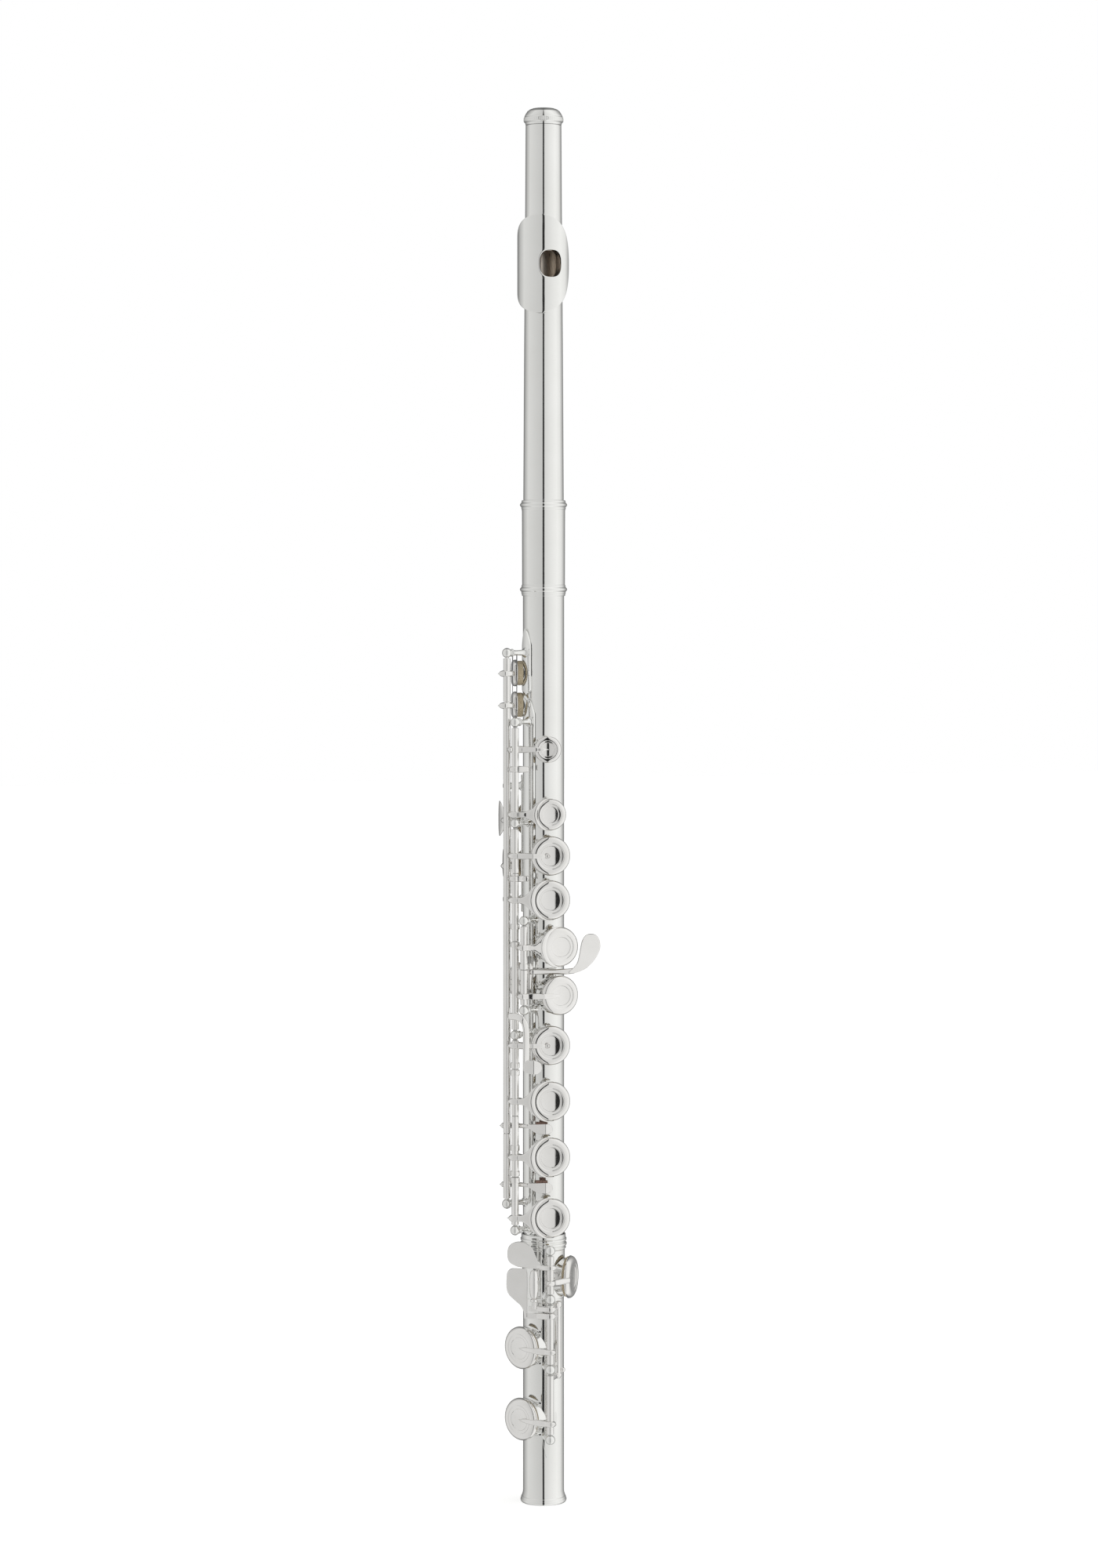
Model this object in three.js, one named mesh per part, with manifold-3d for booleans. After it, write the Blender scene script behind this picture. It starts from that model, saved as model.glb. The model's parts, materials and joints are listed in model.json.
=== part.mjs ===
// Concert flute with a C foot: closed-hole keys, offset G, closed G sharp.
//
// Millimetres. +Z runs up the bore from the open foot end (z = 0) to the crown, the key line faces -Y,
// and the origin is on the bore axis in the plane of the foot end. Angles round the bore are in degrees
// from the key line, growing towards +X. Most keys stand open at rest, so each key group is turned by
// its opening angle about its own hinge; the trill, G sharp and D sharp keys stand closed.

import * as THREE from 'three';
import { mergeVertices } from 'three/addons/utils/BufferGeometryUtils.js';
import Module from 'manifold-3d';

const wasm = await Module();
wasm.setup();

// ---------------------------------------------------------------- driving dimensions

const GAP = 0.3;                  // clearance between neighbouring pieces

const TUBE = { outer: 9.9, bore: 9.5, top: 439.4 };
const TENON = { outer: 9.55, bore: 9.1, low: 102, high: 128.9 };
const FOOT = {
  outer: 9.83, bore: 9.45, socketOuter: 10.25, socketBore: 9.85,
  socketLow: 98, shoulder: 101.5, ringLow: 121.5, top: 128.6,
};
const BARREL = { outer: 10.4, bore: 10.05, sleeveBore: 10.2, low: 434.4, high: 480.8, bead: 11.2, beadHeight: 5.4 };
const HEAD = { low: 481.2, high: 661, wall: 0.45, tenonLow: 441, tenonOuter: 9.75 };
const LIP = { z: 594.1, angle: -19.5, leftAngle: 104, rightAngle: 82, outer: 12.6, thick: 0.8, halfLength: 23.6 };
const HOLE = { angle: 3.5, halfWidth: 5.6, halfLength: 6.5, wall: 1.1 };
const CROWN = { low: 661.3, high: 669.5 };
const STOPPER = { face: 611.4, cork: 7.9, length: 18, plate: 1, screw: 1.5, screwTop: 665.2 };

const ROD = { steel: 0.95, bore: 1.25, outer: 1.75, ball: 2.4, stem: 1.5, foot: 2.3 };
const STRAP = { inner: 10.2, outer: 10.9 };
const FOOT_STRAP = { inner: 10.55, outer: 11.15 };

// Hinge lines: angle and distance from the bore axis.
const HINGE = {
  main: { angle: -54.7, radius: 20.5 },
  offset: { angle: -40.5, radius: 20.5 },
  trill: { angle: -69.2, radius: 21.15 },
  gSharp: { angle: -43, radius: 13.5 },
  thumb: { angle: -111.5, radius: 17.5 },
  foot: { angle: -4.5, radius: 20.5 },
};

// Tone holes: where they point, their height on the tube, chimney radius and the height of its rim.
const TONE_HOLES = {
  trill_dsharp: { angle: -96.5, z: 398, radius: 4.9, rim: 10.7 },
  trill_d: { angle: -96.5, z: 382.7, radius: 4.9, rim: 10.7 },
  csharp: { angle: -5.5, z: 361.9, radius: 4.9, rim: 11.2 },
  c: { angle: 0, z: 330.9, radius: 6.2, rim: 11.9 },
  bflat: { angle: 0, z: 311.2, radius: 8.2, rim: 12.1 },
  a: { angle: 0, z: 290.1, radius: 8.2, rim: 12.1 },
  g: { angle: 17, z: 267.7, radius: 8.2, rim: 12.1 },
  upper_g: { angle: 17, z: 244.5, radius: 8.2, rim: 12.1 },
  gsharp: { angle: -123.5, z: 250, radius: 7.6, rim: 11.7 },
  fsharp: { angle: 0, z: 220.8, radius: 8.4, rim: 12.1 },
  f: { angle: 0, z: 194.2, radius: 8.4, rim: 12.1 },
  e: { angle: 0, z: 167.5, radius: 8.4, rim: 12.1 },
  d: { angle: 0, z: 138.5, radius: 8.4, rim: 12.1 },
  thumb_b: { angle: -171.5, z: 327, radius: 7, rim: 11.7 },
  thumb_bflat: { angle: -171.5, z: 305, radius: 7, rim: 11.7 },
};
const FOOT_HOLES = {
  dsharp: { angle: 60.5, z: 108.3, radius: 8.8, rim: 11.6 },
  csharp: { angle: -60.5, z: 75.5, radius: 8.8, rim: 11.4 },
  c: { angle: -60.5, z: 41.4, radius: 8.8, rim: 11.4 },
};
const CHIMNEY_WALL = 0.6;

// Cups, measured upwards from the pad face.
const CUP = { lip: 0.9, ceiling: 2.2, top: 3.3, dome: 4.2, wall: 0.4 };
const BIG_CUP = { radius: 9.45, shelf: 6.2 };
const SMALL_CUP = { radius: 7.5, shelf: 5 };
const TINY_CUP = { radius: 6.45, shelf: 4.7 };
const TRILL_CUP = { radius: 6.4, shelf: 4, lip: 1.9, ceiling: 3.2, top: 4.3, dome: 4.8 };
const THUMB_CUP = { radius: 8.5, shelf: 5.6 };
const FOOT_CUP = { radius: 10.15, shelf: 6.6 };

const OPEN_ANGLE = 7.5;           // main keys at rest
const FOOT_OPEN_ANGLE = 5.5;      // foot keys at rest

const FINE = 20;                  // sides of the big tubes
const ROUND = 12;                 // sides of cups, pads and chimneys
const SMALL = 8;                  // sides of rods and posts

// ---------------------------------------------------------------- materials

function metal(color, roughness = 0.22) {
  return new THREE.MeshStandardMaterial({ color, roughness, metalness: 1 });
}
const silver = () => metal(0xd3d1cc);
const steel = () => metal(0x9a9a98, 0.3);
const padSkin = () => new THREE.MeshStandardMaterial({ color: 0xa89a80, roughness: 0.8, metalness: 0 });
const corkSkin = () => new THREE.MeshStandardMaterial({ color: 0xb58a5c, roughness: 0.9, metalness: 0 });

// ---------------------------------------------------------------- solids

const radians = THREE.MathUtils.degToRad;

function signedVolume(position, index) {
  const [a, b, c] = [new THREE.Vector3(), new THREE.Vector3(), new THREE.Vector3()];
  let volume = 0;
  for (let i = 0; i < index.length; i += 3) {
    a.fromArray(position, 3 * index[i]);
    b.fromArray(position, 3 * index[i + 1]);
    c.fromArray(position, 3 * index[i + 2]);
    volume += a.dot(b.cross(c));
  }
  return volume;
}

// A closed geometry as a solid: shared corners merged, flat triangles dropped, faces turned outwards.
function solid(geometry) {
  const bare = new THREE.BufferGeometry();
  bare.setAttribute('position', geometry.getAttribute('position'));
  if (geometry.index) bare.setIndex(geometry.index);
  const merged = mergeVertices(bare, 1e-4);
  const corners = Array.from(merged.index.array);
  const kept = [];
  for (let i = 0; i < corners.length; i += 3) {
    const [a, b, c] = corners.slice(i, i + 3);
    if (a !== b && b !== c && c !== a) kept.push(a, b, c);
  }
  const position = merged.getAttribute('position').array;
  if (signedVolume(position, kept) < 0) kept.reverse();
  return new wasm.Manifold(new wasm.Mesh({
    numProp: 3, vertProperties: Float32Array.from(position), triVerts: Uint32Array.from(kept),
  }));
}

function join(pieces) {
  return pieces.reduce((whole, piece) => whole.add(piece));
}

function meshOf(name, body, material) {
  const shell = body.getMesh();
  const geometry = new THREE.BufferGeometry();
  geometry.setAttribute('position', new THREE.BufferAttribute(Float32Array.from(shell.vertProperties), 3));
  geometry.setIndex(Array.from(shell.triVerts));
  geometry.computeVertexNormals();
  const mesh = new THREE.Mesh(geometry, material);
  mesh.name = name;
  return mesh;
}

// A profile of [radius, height] turned about +Z.
function turnedZ(profile, sides) {
  const points = profile.map(([radius, height]) => new THREE.Vector2(radius, height));
  return solid(new THREE.LatheGeometry(points, sides).rotateX(Math.PI / 2));
}

function rodZ(radius, low, high, sides = SMALL) {
  return turnedZ([[0, low], [radius, low], [radius, high], [0, high]], sides);
}

function tubeZ(outer, bore, low, high, sides = SMALL) {
  return turnedZ([[bore, low], [outer, low], [outer, high], [bore, high], [bore, low]], sides);
}

// The same about the outward direction (-Y), standing at (x, z).
function turnedOut(profile, x, z, sides = ROUND) {
  const points = profile.map(([radius, height]) => new THREE.Vector2(radius, height));
  return solid(new THREE.LatheGeometry(points, sides).rotateX(Math.PI).translate(x, 0, z));
}

function rodOut(radius, low, high, x, z, sides = ROUND) {
  return turnedOut([[0, low], [radius, low], [radius, high], [0, high]], x, z, sides);
}

// An outline of [x, out] pairs, pulled along Z.
function prismZ(outline, low, high) {
  const shape = new THREE.Shape(outline.map(([x, out]) => new THREE.Vector2(x, -out)));
  const depth = high - low;
  return solid(new THREE.ExtrudeGeometry(shape, { depth, bevelEnabled: false }).translate(0, 0, low));
}

// An outline of [x, z] pairs, pulled outwards along -Y.
function prismOut(outline, low, high) {
  const shape = new THREE.Shape(outline.map(([x, z]) => new THREE.Vector2(x, z)));
  const depth = high - low;
  const geometry = new THREE.ExtrudeGeometry(shape, { depth, bevelEnabled: false, curveSegments: 8 });
  return solid(geometry.translate(0, 0, low).rotateX(Math.PI / 2));
}

function oval(halfWidth, halfHeight, x, z, points, power = 2) {
  const outline = [];
  for (let i = 0; i < points; i += 1) {
    const turn = (2 * Math.PI * i) / points;
    const [cos, sin] = [Math.cos(turn), Math.sin(turn)];
    const along = Math.sign(cos) * Math.abs(cos) ** (2 / power);
    const across = Math.sign(sin) * Math.abs(sin) ** (2 / power);
    outline.push([x + halfWidth * along, z + halfHeight * across]);
  }
  return outline;
}

// A point at a given angle and distance from the bore axis.
function polar(angle, radius) {
  return [radius * Math.sin(radians(angle)), -radius * Math.cos(radians(angle))];
}

function turnedTo(body, angle) {
  return body.rotate([0, 0, angle]);
}

// A strip that follows the tube and narrows to a point at each end.
function strap(angle, halfAngle, low, high, { inner, outer }, lowPoint = 8, highPoint = 8) {
  const outline = [];
  const steps = 4;
  for (let i = 0; i <= steps; i += 1) outline.push(polar(-halfAngle + (2 * halfAngle * i) / steps, outer));
  for (let i = steps; i >= 0; i -= 1) outline.push(polar(-halfAngle + (2 * halfAngle * i) / steps, inner));
  const sector = prismZ(outline.map(([x, y]) => [x, -y]), low, high);
  const halfWidth = 1.05 * outer * Math.sin(radians(halfAngle));
  const plan = prismOut([
    [0, low], [halfWidth, low + lowPoint], [halfWidth, high - highPoint],
    [0, high], [-halfWidth, high - highPoint], [-halfWidth, low + lowPoint],
  ], 0, 2 * outer);
  return turnedTo(sector.intersect(plan), angle);
}

// A ball-headed post that stands on the tube and carries a hinge line.
function post(hinge, z, base, ball = ROD.ball) {
  const head = new THREE.SphereGeometry(ball, SMALL, 5).rotateX(Math.PI / 2).translate(0, -hinge.radius, z);
  const stem = turnedOut([
    [0, base], [ROD.foot, base], [ROD.stem, base + 1.5], [ROD.stem, hinge.radius], [0, hinge.radius],
  ], 0, z, 6);
  const hole = rodZ(ROD.bore, z - 2 * ball, z + 2 * ball).translate([0, -hinge.radius, 0]);
  return turnedTo(solid(head).add(stem).subtract(hole), hinge.angle);
}

// ---------------------------------------------------------------- tubes

function chimney({ angle, z, radius, rim }) {
  return turnedTo(rodOut(radius, 4, rim, 0, z), angle);
}

function toneHole({ angle, z, radius, rim }) {
  return turnedTo(rodOut(radius - CHIMNEY_WALL, 2, rim + 2, 0, z), angle);
}

// Room for the chimneys, cut out of the straps.
function chimneyRoom(holes) {
  return join(Object.values(holes).map(({ angle, z, radius }) => (
    turnedTo(rodOut(radius + GAP, 4, 16, 0, z), angle))));
}

function bodyTube() {
  const outside = turnedZ([
    [0, TENON.low], [TENON.outer, TENON.low], [TENON.outer, TENON.high],
    [TUBE.outer, TENON.high + GAP], [TUBE.outer, TUBE.top], [0, TUBE.top],
  ], FINE);
  const bore = turnedZ([
    [0, TENON.low - 1], [TENON.bore, TENON.low - 1], [TENON.bore, TENON.high + 1],
    [TUBE.bore, TENON.high + 2], [TUBE.bore, TUBE.top + 1], [0, TUBE.top + 1],
  ], FINE);
  const holes = Object.values(TONE_HOLES);
  const shell = join([outside, ...holes.map(chimney)]).subtract(bore);
  return shell.subtract(join(holes.map(toneHole)));
}

function barrel() {
  const { outer, bore, sleeveBore, low, high, bead, beadHeight } = BARREL;
  return turnedZ([
    [sleeveBore, low], [outer, low], [bead, low + beadHeight / 2], [outer, low + beadHeight],
    [outer, high - beadHeight], [bead, high - beadHeight / 2], [outer, high], [bore, high],
    [bore, TUBE.top + 2 * GAP], [sleeveBore, TUBE.top + 2 * GAP], [sleeveBore, low],
  ], FINE);
}

function footTube() {
  const outside = turnedZ([
    [0, 0], [11, 0], [11.1, 1.2], [10.4, 3.6], [FOOT.outer, 4], [FOOT.outer, FOOT.socketLow],
    [FOOT.socketOuter, FOOT.socketLow + 1], [FOOT.socketOuter, FOOT.ringLow], [10.9, FOOT.ringLow + 1],
    [11.2, FOOT.ringLow + 4], [10.8, FOOT.top], [0, FOOT.top],
  ], FINE);
  const bore = turnedZ([
    [0, -1], [FOOT.bore, -1], [FOOT.bore, FOOT.shoulder], [FOOT.socketBore, FOOT.shoulder],
    [FOOT.socketBore, FOOT.top + 1], [0, FOOT.top + 1],
  ], FINE);
  const holes = Object.values(FOOT_HOLES);
  return join([outside, ...holes.map(chimney)]).subtract(bore).subtract(join(holes.map(toneHole)));
}

// ---------------------------------------------------------------- head joint

// The head narrows towards the crown.
const HEAD_TAPER = [[HEAD.low, 9.75], [555, 9.31], [625, 8.8], [HEAD.high, 8.6]];

function embouchure(extra, low, high) {
  const outline = oval(HOLE.halfWidth + extra, HOLE.halfLength + extra, 0, LIP.z, 20, 2.6);
  return turnedTo(prismOut(outline, low, high), HOLE.angle);
}

function headSkin(offset) {
  const ring = HEAD_TAPER.map(([z, radius]) => [radius + offset, z]);
  return turnedZ([[0, HEAD.low - 1], [ring[0][0], HEAD.low - 1], ...ring, [0, HEAD.high]], FINE);
}

function headTube() {
  const outside = HEAD_TAPER.map(([z, radius]) => [radius, z]);
  const inside = HEAD_TAPER.map(([z, radius]) => [radius - HEAD.wall, z]).reverse();
  return turnedZ([...outside, ...inside, outside[0]], FINE).subtract(embouchure(0, 2, 20));
}

// The lip plate's outline is an ellipse wrapped round the tube, wider than half a turn can show from
// one side, so each half is cut from its own side.
function lipHalf(side) {
  const quarter = 45 * side;
  const halfAngle = side > 0 ? LIP.rightAngle : LIP.leftAngle;
  const outline = [];
  for (let turn = -90; turn <= 90; turn += 10) {
    const angle = side * halfAngle * Math.cos(radians(turn));
    const z = LIP.z + LIP.halfLength * Math.sin(radians(turn));
    outline.push([LIP.outer * Math.sin(radians(angle - quarter)), z]);
  }
  const seam = -side * (LIP.outer * Math.sin(radians(45)) + 1);
  outline.push([seam, LIP.z + LIP.halfLength], [seam, LIP.z - LIP.halfLength]);
  return turnedTo(prismOut(side > 0 ? outline : outline.reverse(), 2, 20), LIP.angle + quarter);
}

function lipPlate() {
  const { z, outer, thick, halfLength } = LIP;
  const shell = tubeZ(outer, outer - thick, z - halfLength - 1, z + halfLength + 1, FINE);
  const halves = [-1, 1].map((side) => shell.intersect(lipHalf(side)));
  return join(halves).subtract(embouchure(0, 2, 20));
}

function riser() {
  const inside = LIP.outer - LIP.thick - GAP;
  const limit = rodZ(inside, LIP.z - 12, LIP.z + 12, FINE);
  return embouchure(HOLE.wall, 4, 20).subtract(embouchure(0, 2, 22)).intersect(limit).subtract(headSkin(GAP));
}

function crown() {
  const { low, high } = CROWN;
  const outside = turnedZ([
    [0, low - 6], [7.8, low - 6], [7.8, low], [8.9, low], [8.9, low + 1.2], [9.6, low + 1.7], [9.6, low + 3.9],
    [9, low + 4.6], [7.7, high - 1.6], [6.4, high - 0.6], [4.9, high - 0.1], [0, high],
  ], FINE);
  return outside.subtract(rodZ(STOPPER.screw + GAP, low - 7, STOPPER.screwTop + 1.3));
}

function stopperScrew() {
  const { face, cork, length, plate, screw, screwTop } = STOPPER;
  const corkTop = face + plate + length + 2 * GAP;
  return turnedZ([
    [0, face], [cork - GAP, face], [cork - GAP, face + plate], [screw, face + plate], [screw, corkTop],
    [cork - 1.5, corkTop], [cork - 1.5, corkTop + plate], [screw, corkTop + plate], [screw, screwTop],
    [0, screwTop],
  ], ROUND);
}

function stopperCork() {
  const { face, cork, length, plate, screw } = STOPPER;
  return tubeZ(cork, screw + GAP, face + plate + GAP, face + plate + GAP + length, ROUND);
}

// ---------------------------------------------------------------- keys
// A key is drawn in its hinge frame: the hinge is the Z axis, x runs across to the cup and -Y is out.

// Where a cup lies in its key's hinge frame when it is closed.
function reach(hole, hinge) {
  const between = radians(hole.angle - hinge.angle);
  return {
    across: Math.abs(hinge.radius * Math.sin(between)),
    seat: hole.rim + GAP - hinge.radius * Math.cos(between),
    side: Math.sign(between),
    z: hole.z,
  };
}

function cup(size, at) {
  const { radius, shelf, lip, ceiling, top, dome, wall } = { ...CUP, ...size };
  const profile = [
    [0, ceiling], [radius - wall, ceiling], [radius - wall, lip], [radius, lip], [radius, top],
    [shelf, top], [shelf - 0.6, dome], [0, dome - 0.4],
  ];
  return turnedOut(profile.map(([r, height]) => [r, at.seat + height]), at.across, at.z);
}

function pad(size, at) {
  const { radius, ceiling, wall } = { ...CUP, ...size };
  return rodOut(radius - wall - GAP, at.seat, at.seat + ceiling - GAP, at.across, at.z);
}

// The plan of an arm, measured from its cup's height, cut by its side view of [x, out] pairs.
function arm(plan, side, z) {
  const halfHeight = 8;
  const sideView = prismZ(side, z - halfHeight, z + halfHeight);
  return prismOut(plan.map(([x, dz]) => [x, z + dz]), -12, 20).intersect(sideView);
}

// A straight arm that tapers to a point over the middle of its cup.
function pointedArm(size, at) {
  const { radius, top: height } = { ...CUP, ...size };
  const { across, seat, z } = at;
  const top = seat + height;
  const edge = across - radius;
  const plan = [
    [-2.6, 0], [-1.4, -1.45], [edge, -1.35], [across - 2, -0.6], [across, 0],
    [across - 2, 0.6], [edge, 1.35], [-1.4, 1.45],
  ];
  const side = [
    [-2.6, -1], [1.5, -1], [edge, top - 0.9], [across, top - 0.4], [across, top + 1.1],
    [edge + 2.5, top + 1.9], [edge, top + 1.2], [1.5, 2], [-2.6, 1.4],
  ];
  return arm(plan, side, z);
}

// The short arm of a trill key, which drops from its hinge to the cup below it.
function droppedArm(size, at) {
  const { across, seat, z } = at;
  const top = seat + size.top;
  const plan = [
    [-2.6, 0], [-1.4, -1.3], [across - 4, -1.2], [across, 0], [across - 4, 1.2], [-1.4, 1.3],
  ];
  const side = [
    [-2.6, -0.8], [-1.5, -2], [3, top - 1], [across, top - 0.5], [across, top + 0.6],
    [4.6, top + 1.2], [2.2, -0.6], [1.2, 1.2], [-2.6, 1],
  ];
  return arm(plan, side, z);
}

// An arm that opens into a fork round the near half of its cup.
function forkedArm(size, at) {
  const { radius, top: height } = { ...CUP, ...size };
  const { across, seat, z } = at;
  const top = seat + height;
  const edge = across - radius;
  const [outer, inner] = [radius + 0.8, radius - 1.4];
  const halfSpan = 78;
  const steps = 6;
  const turns = Array.from({ length: steps + 1 }, (_, i) => radians(halfSpan * ((2 * i) / steps - 1)));
  const near = (reachOut) => (turn) => [across - reachOut * Math.cos(turn), z + reachOut * Math.sin(turn)];
  const crescent = [...turns.map(near(outer)), ...turns.map(near(inner)).reverse()];
  const mouth = across - outer + 0.9;
  const plan = [
    [-2.6, 0], [-1.4, -1.45], [edge * 0.3, -1.3], [edge * 0.75, -2.2], [mouth, -4.4],
    [mouth, 4.4], [edge * 0.75, 2.2], [edge * 0.3, 1.3], [-1.4, 1.45],
  ];
  const side = [
    [-2.6, -1], [1.5, -1], [edge - 1, top - 1.9], [mouth, top - 1.2], [mouth, top + 0.7],
    [edge - 1.6, top + 0.7], [1.5, 2], [-2.6, 1.4],
  ];
  return prismOut(crescent, top - 1, top + 0.7).add(arm(plan, side, z));
}

// A shape drawn at +x in its hinge frame, laid on the side where its cup is.
function placed(body, hole, at) {
  const sided = at.side < 0 ? body.mirror([1, 0, 0]) : body;
  return turnedTo(sided, hole.angle);
}

// ---------------------------------------------------------------- touches
// Touches are drawn from the bore axis, in a frame turned to face the fingers, then moved to their hinge.

const TOUCH_ANGLE = -13.5;

function touch(body, hinge) {
  const [x, y] = polar(hinge.angle, hinge.radius);
  return turnedTo(body, TOUCH_ANGLE).translate([-x, -y, 0]);
}

// A plate of a given plan, cut out of a side view of [x, height] pairs.
function plate(plan, side) {
  const heights = plan.map(([, z]) => z);
  const slab = prismZ(side, Math.min(...heights), Math.max(...heights));
  return prismOut(plan, 0, 40).intersect(slab);
}

function smooth(points, divisions = 18) {
  const curve = new THREE.SplineCurve(points.map(([x, z]) => new THREE.Vector2(x, z)));
  return curve.getPoints(divisions).map((point) => [point.x, point.y]);
}

function trillTouch(z) {
  const plan = [
    [-20.1, z], [-18.8, z - 1.3], [-9, z - 1.1], [-5.5, z - 2], [-1, z - 2.8], [2.5, z - 2.4],
    [4.4, z - 1.2], [4.8, z], [4.4, z + 1.2], [2.5, z + 2.4], [-1, z + 2.8], [-5.5, z + 2], [-9, z + 1.1],
    [-18.8, z + 1.3],
  ];
  const side = [
    [-20.1, 11], [-15, 10.7], [-10, 11.2], [-6, 14.5], [5, 15], [5, 16.2], [-7, 16.2], [-10.8, 12.9],
    [-15, 12.7], [-20.1, 12.8],
  ];
  return touch(plate(plan, side), HINGE.trill);
}

function gSharpTouch() {
  const teardrop = smooth([
    [10, 255], [16, 255.2], [21.6, 257.7], [26, 263], [27.4, 268.5], [24.8, 273.1], [20.6, 271.2],
    [17.8, 264.5], [15.4, 258], [10, 257.2],
  ]);
  const plan = [[-8.6, 257.2], [-8.6, 255], ...teardrop];
  const side = [
    [-8.6, 10.7], [-4, 10.7], [0, 12.4], [8, 11.8], [15, 10.2], [28, 8.8], [28, 10.2], [15, 12.2],
    [8, 13.9], [0, 14.5], [-4, 13.6], [-8.6, 12.6],
  ];
  return touch(plate(plan, side), HINGE.gSharp);
}

// The G sharp arm runs round the rod side of the tube to the cup behind it.
function gSharpArm(size, at) {
  const { across, seat, z } = at;
  const top = seat + CUP.top;
  const side = [
    [-1.5, -0.7], [1.1, -0.9], [1.7, 5], [4, 10], [5.2, top - 0.9], [across, top - 0.4], [across, top + 0.8],
    [5, top + 1.4], [2, top - 1.6], [-0.6, 6],
  ];
  const plan = [[-1.9, -1.35], [5, -1.35], [across, -0.5], [across, 0.5], [5, 1.35], [-1.9, 1.35]];
  return arm(plan, side, z);
}

function sideLeverTouch() {
  const plan = smooth([
    [-13.5, 235.6], [-10, 235], [-7.4, 232], [-6.6, 226], [-6.6, 217.5], [-3.8, 215.2], [-0.4, 213], [-1.2, 210],
    [-4.6, 208.1], [-7.9, 209.8], [-9.3, 214], [-9.2, 222], [-9.6, 228], [-11, 231], [-13.5, 232],
  ], 26);
  const side = [
    [-15.2, 15.4], [-13.4, 14], [-11.6, 16], [-10.6, 20], [0, 20.2], [0, 21.3], [-11.5, 21.3],
    [-13.6, 19],
  ];
  const body = plate([[-15, 235.6], [-15, 232], ...plan.slice().reverse()], side);
  return touch(body, HINGE.main);
}

function thumbTouch(z, halfHeight, lift) {
  const side = [
    [-18.2, -1.2], [-20.9 + lift, -6.5], [-20.9 + lift, -10.5], [-19 + lift, -15], [-17.9 + lift, -14.6],
    [-19.6 + lift, -10.3], [-19.6 + lift, -7], [-16.6, -3],
  ];
  const slab = prismZ(side, z - halfHeight, z + halfHeight);
  const plan = turnedTo(prismOut(oval(8, halfHeight, -8, z, 16, 2.6), 0, 40), -90);
  return touch(slab.intersect(plan), HINGE.thumb);
}

// Spatulas slope down to the left from the foot hinge.
const SPATULA_SIDE = [
  [3.2, 19.2], [-2, 19.2], [-10, 17.3], [-17, 14.5], [-17, 15.7], [-10, 18.7], [-2, 21], [3.2, 21.5],
];

function dSharpSpatula() {
  const plan = [
    [3.2, 118.2], ...smooth([
      [-1.2, 118.2], [-3.4, 121.6], [-5.4, 125.8], [-8.6, 127.4], [-13, 127.4], [-16.4, 124.4],
      [-16.4, 119.4], [-13, 116.2], [-8, 115.6],
    ]), [3.2, 115.6],
  ];
  return touch(plate(plan, SPATULA_SIDE), HINGE.foot);
}

function cSharpSpatula() {
  const plan = [
    [3.2, 91.7], [-8.6, 91.7], ...smooth([
      [-9.6, 93], [-10.4, 96], [-15.4, 99.4], [-17.2, 103.4], [-17.2, 112.4], [-15.4, 114.9], [-9, 114.9],
    ]), [-7.6, 114.3], [-7.6, 94.1], [3.2, 94.1],
  ];
  return touch(plate(plan, SPATULA_SIDE), HINGE.foot);
}

// The C roller turns on a pin that stands on its lever, beside the C sharp spatula.
const ROLLER = { x: -4.4, out: 19.6, radius: 2.3, bore: 1.1, pin: 0.8, low: 101.4, high: 114.8, arm: 94.5 };
// The C lever works its cup through a bridge rod laid past the C sharp key.
const BRIDGE = { x: 7.7, out: 11.1, radius: 1.5, low: 61.4, high: 97.5, thick: 2.9 };

function cLever() {
  const { x, out, pin, high, arm: low } = ROLLER;
  const reachPlan = [[3.2, low], [3.2, low + 2.9], [x - 2.4, low + 2.9], [x - 2.4, low]];
  const stem = rodZ(pin, low + 1, high - GAP).translate([x, -out, 0]);
  const [hingeX, hingeY] = polar(HINGE.foot.angle - TOUCH_ANGLE, HINGE.foot.radius);
  const link = [
    [hingeX - 1.2, -hingeY - 1], [hingeX + 1.6, -hingeY + 0.6], [BRIDGE.x + 1.2, BRIDGE.out + 0.4],
    [BRIDGE.x - 1.2, BRIDGE.out - 0.6],
  ];
  const links = [BRIDGE.low, BRIDGE.high - BRIDGE.thick].map((z) => prismZ(link, z, z + BRIDGE.thick));
  const bridge = rodZ(BRIDGE.radius, BRIDGE.low, BRIDGE.high).translate([BRIDGE.x, -BRIDGE.out, 0]);
  const lever = plate(reachPlan, SPATULA_SIDE);
  return touch(join([lever, stem, bridge, ...links]), HINGE.foot);
}

function roller() {
  const { x, out, radius, bore, low, high } = ROLLER;
  const barrelShape = turnedZ([
    [bore, low], [radius - 0.5, low], [radius, low + 3], [radius, high - 3], [radius - 0.5, high],
    [bore, high], [bore, low],
  ], 16).translate([x, -out, 0]);
  return touch(barrelShape, HINGE.foot);
}

// ---------------------------------------------------------------- key groups

const flute = new THREE.Group();
flute.name = 'concert_flute';

function fixed(name, body, material = silver()) {
  flute.add(meshOf(name, body, material));
}

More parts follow.
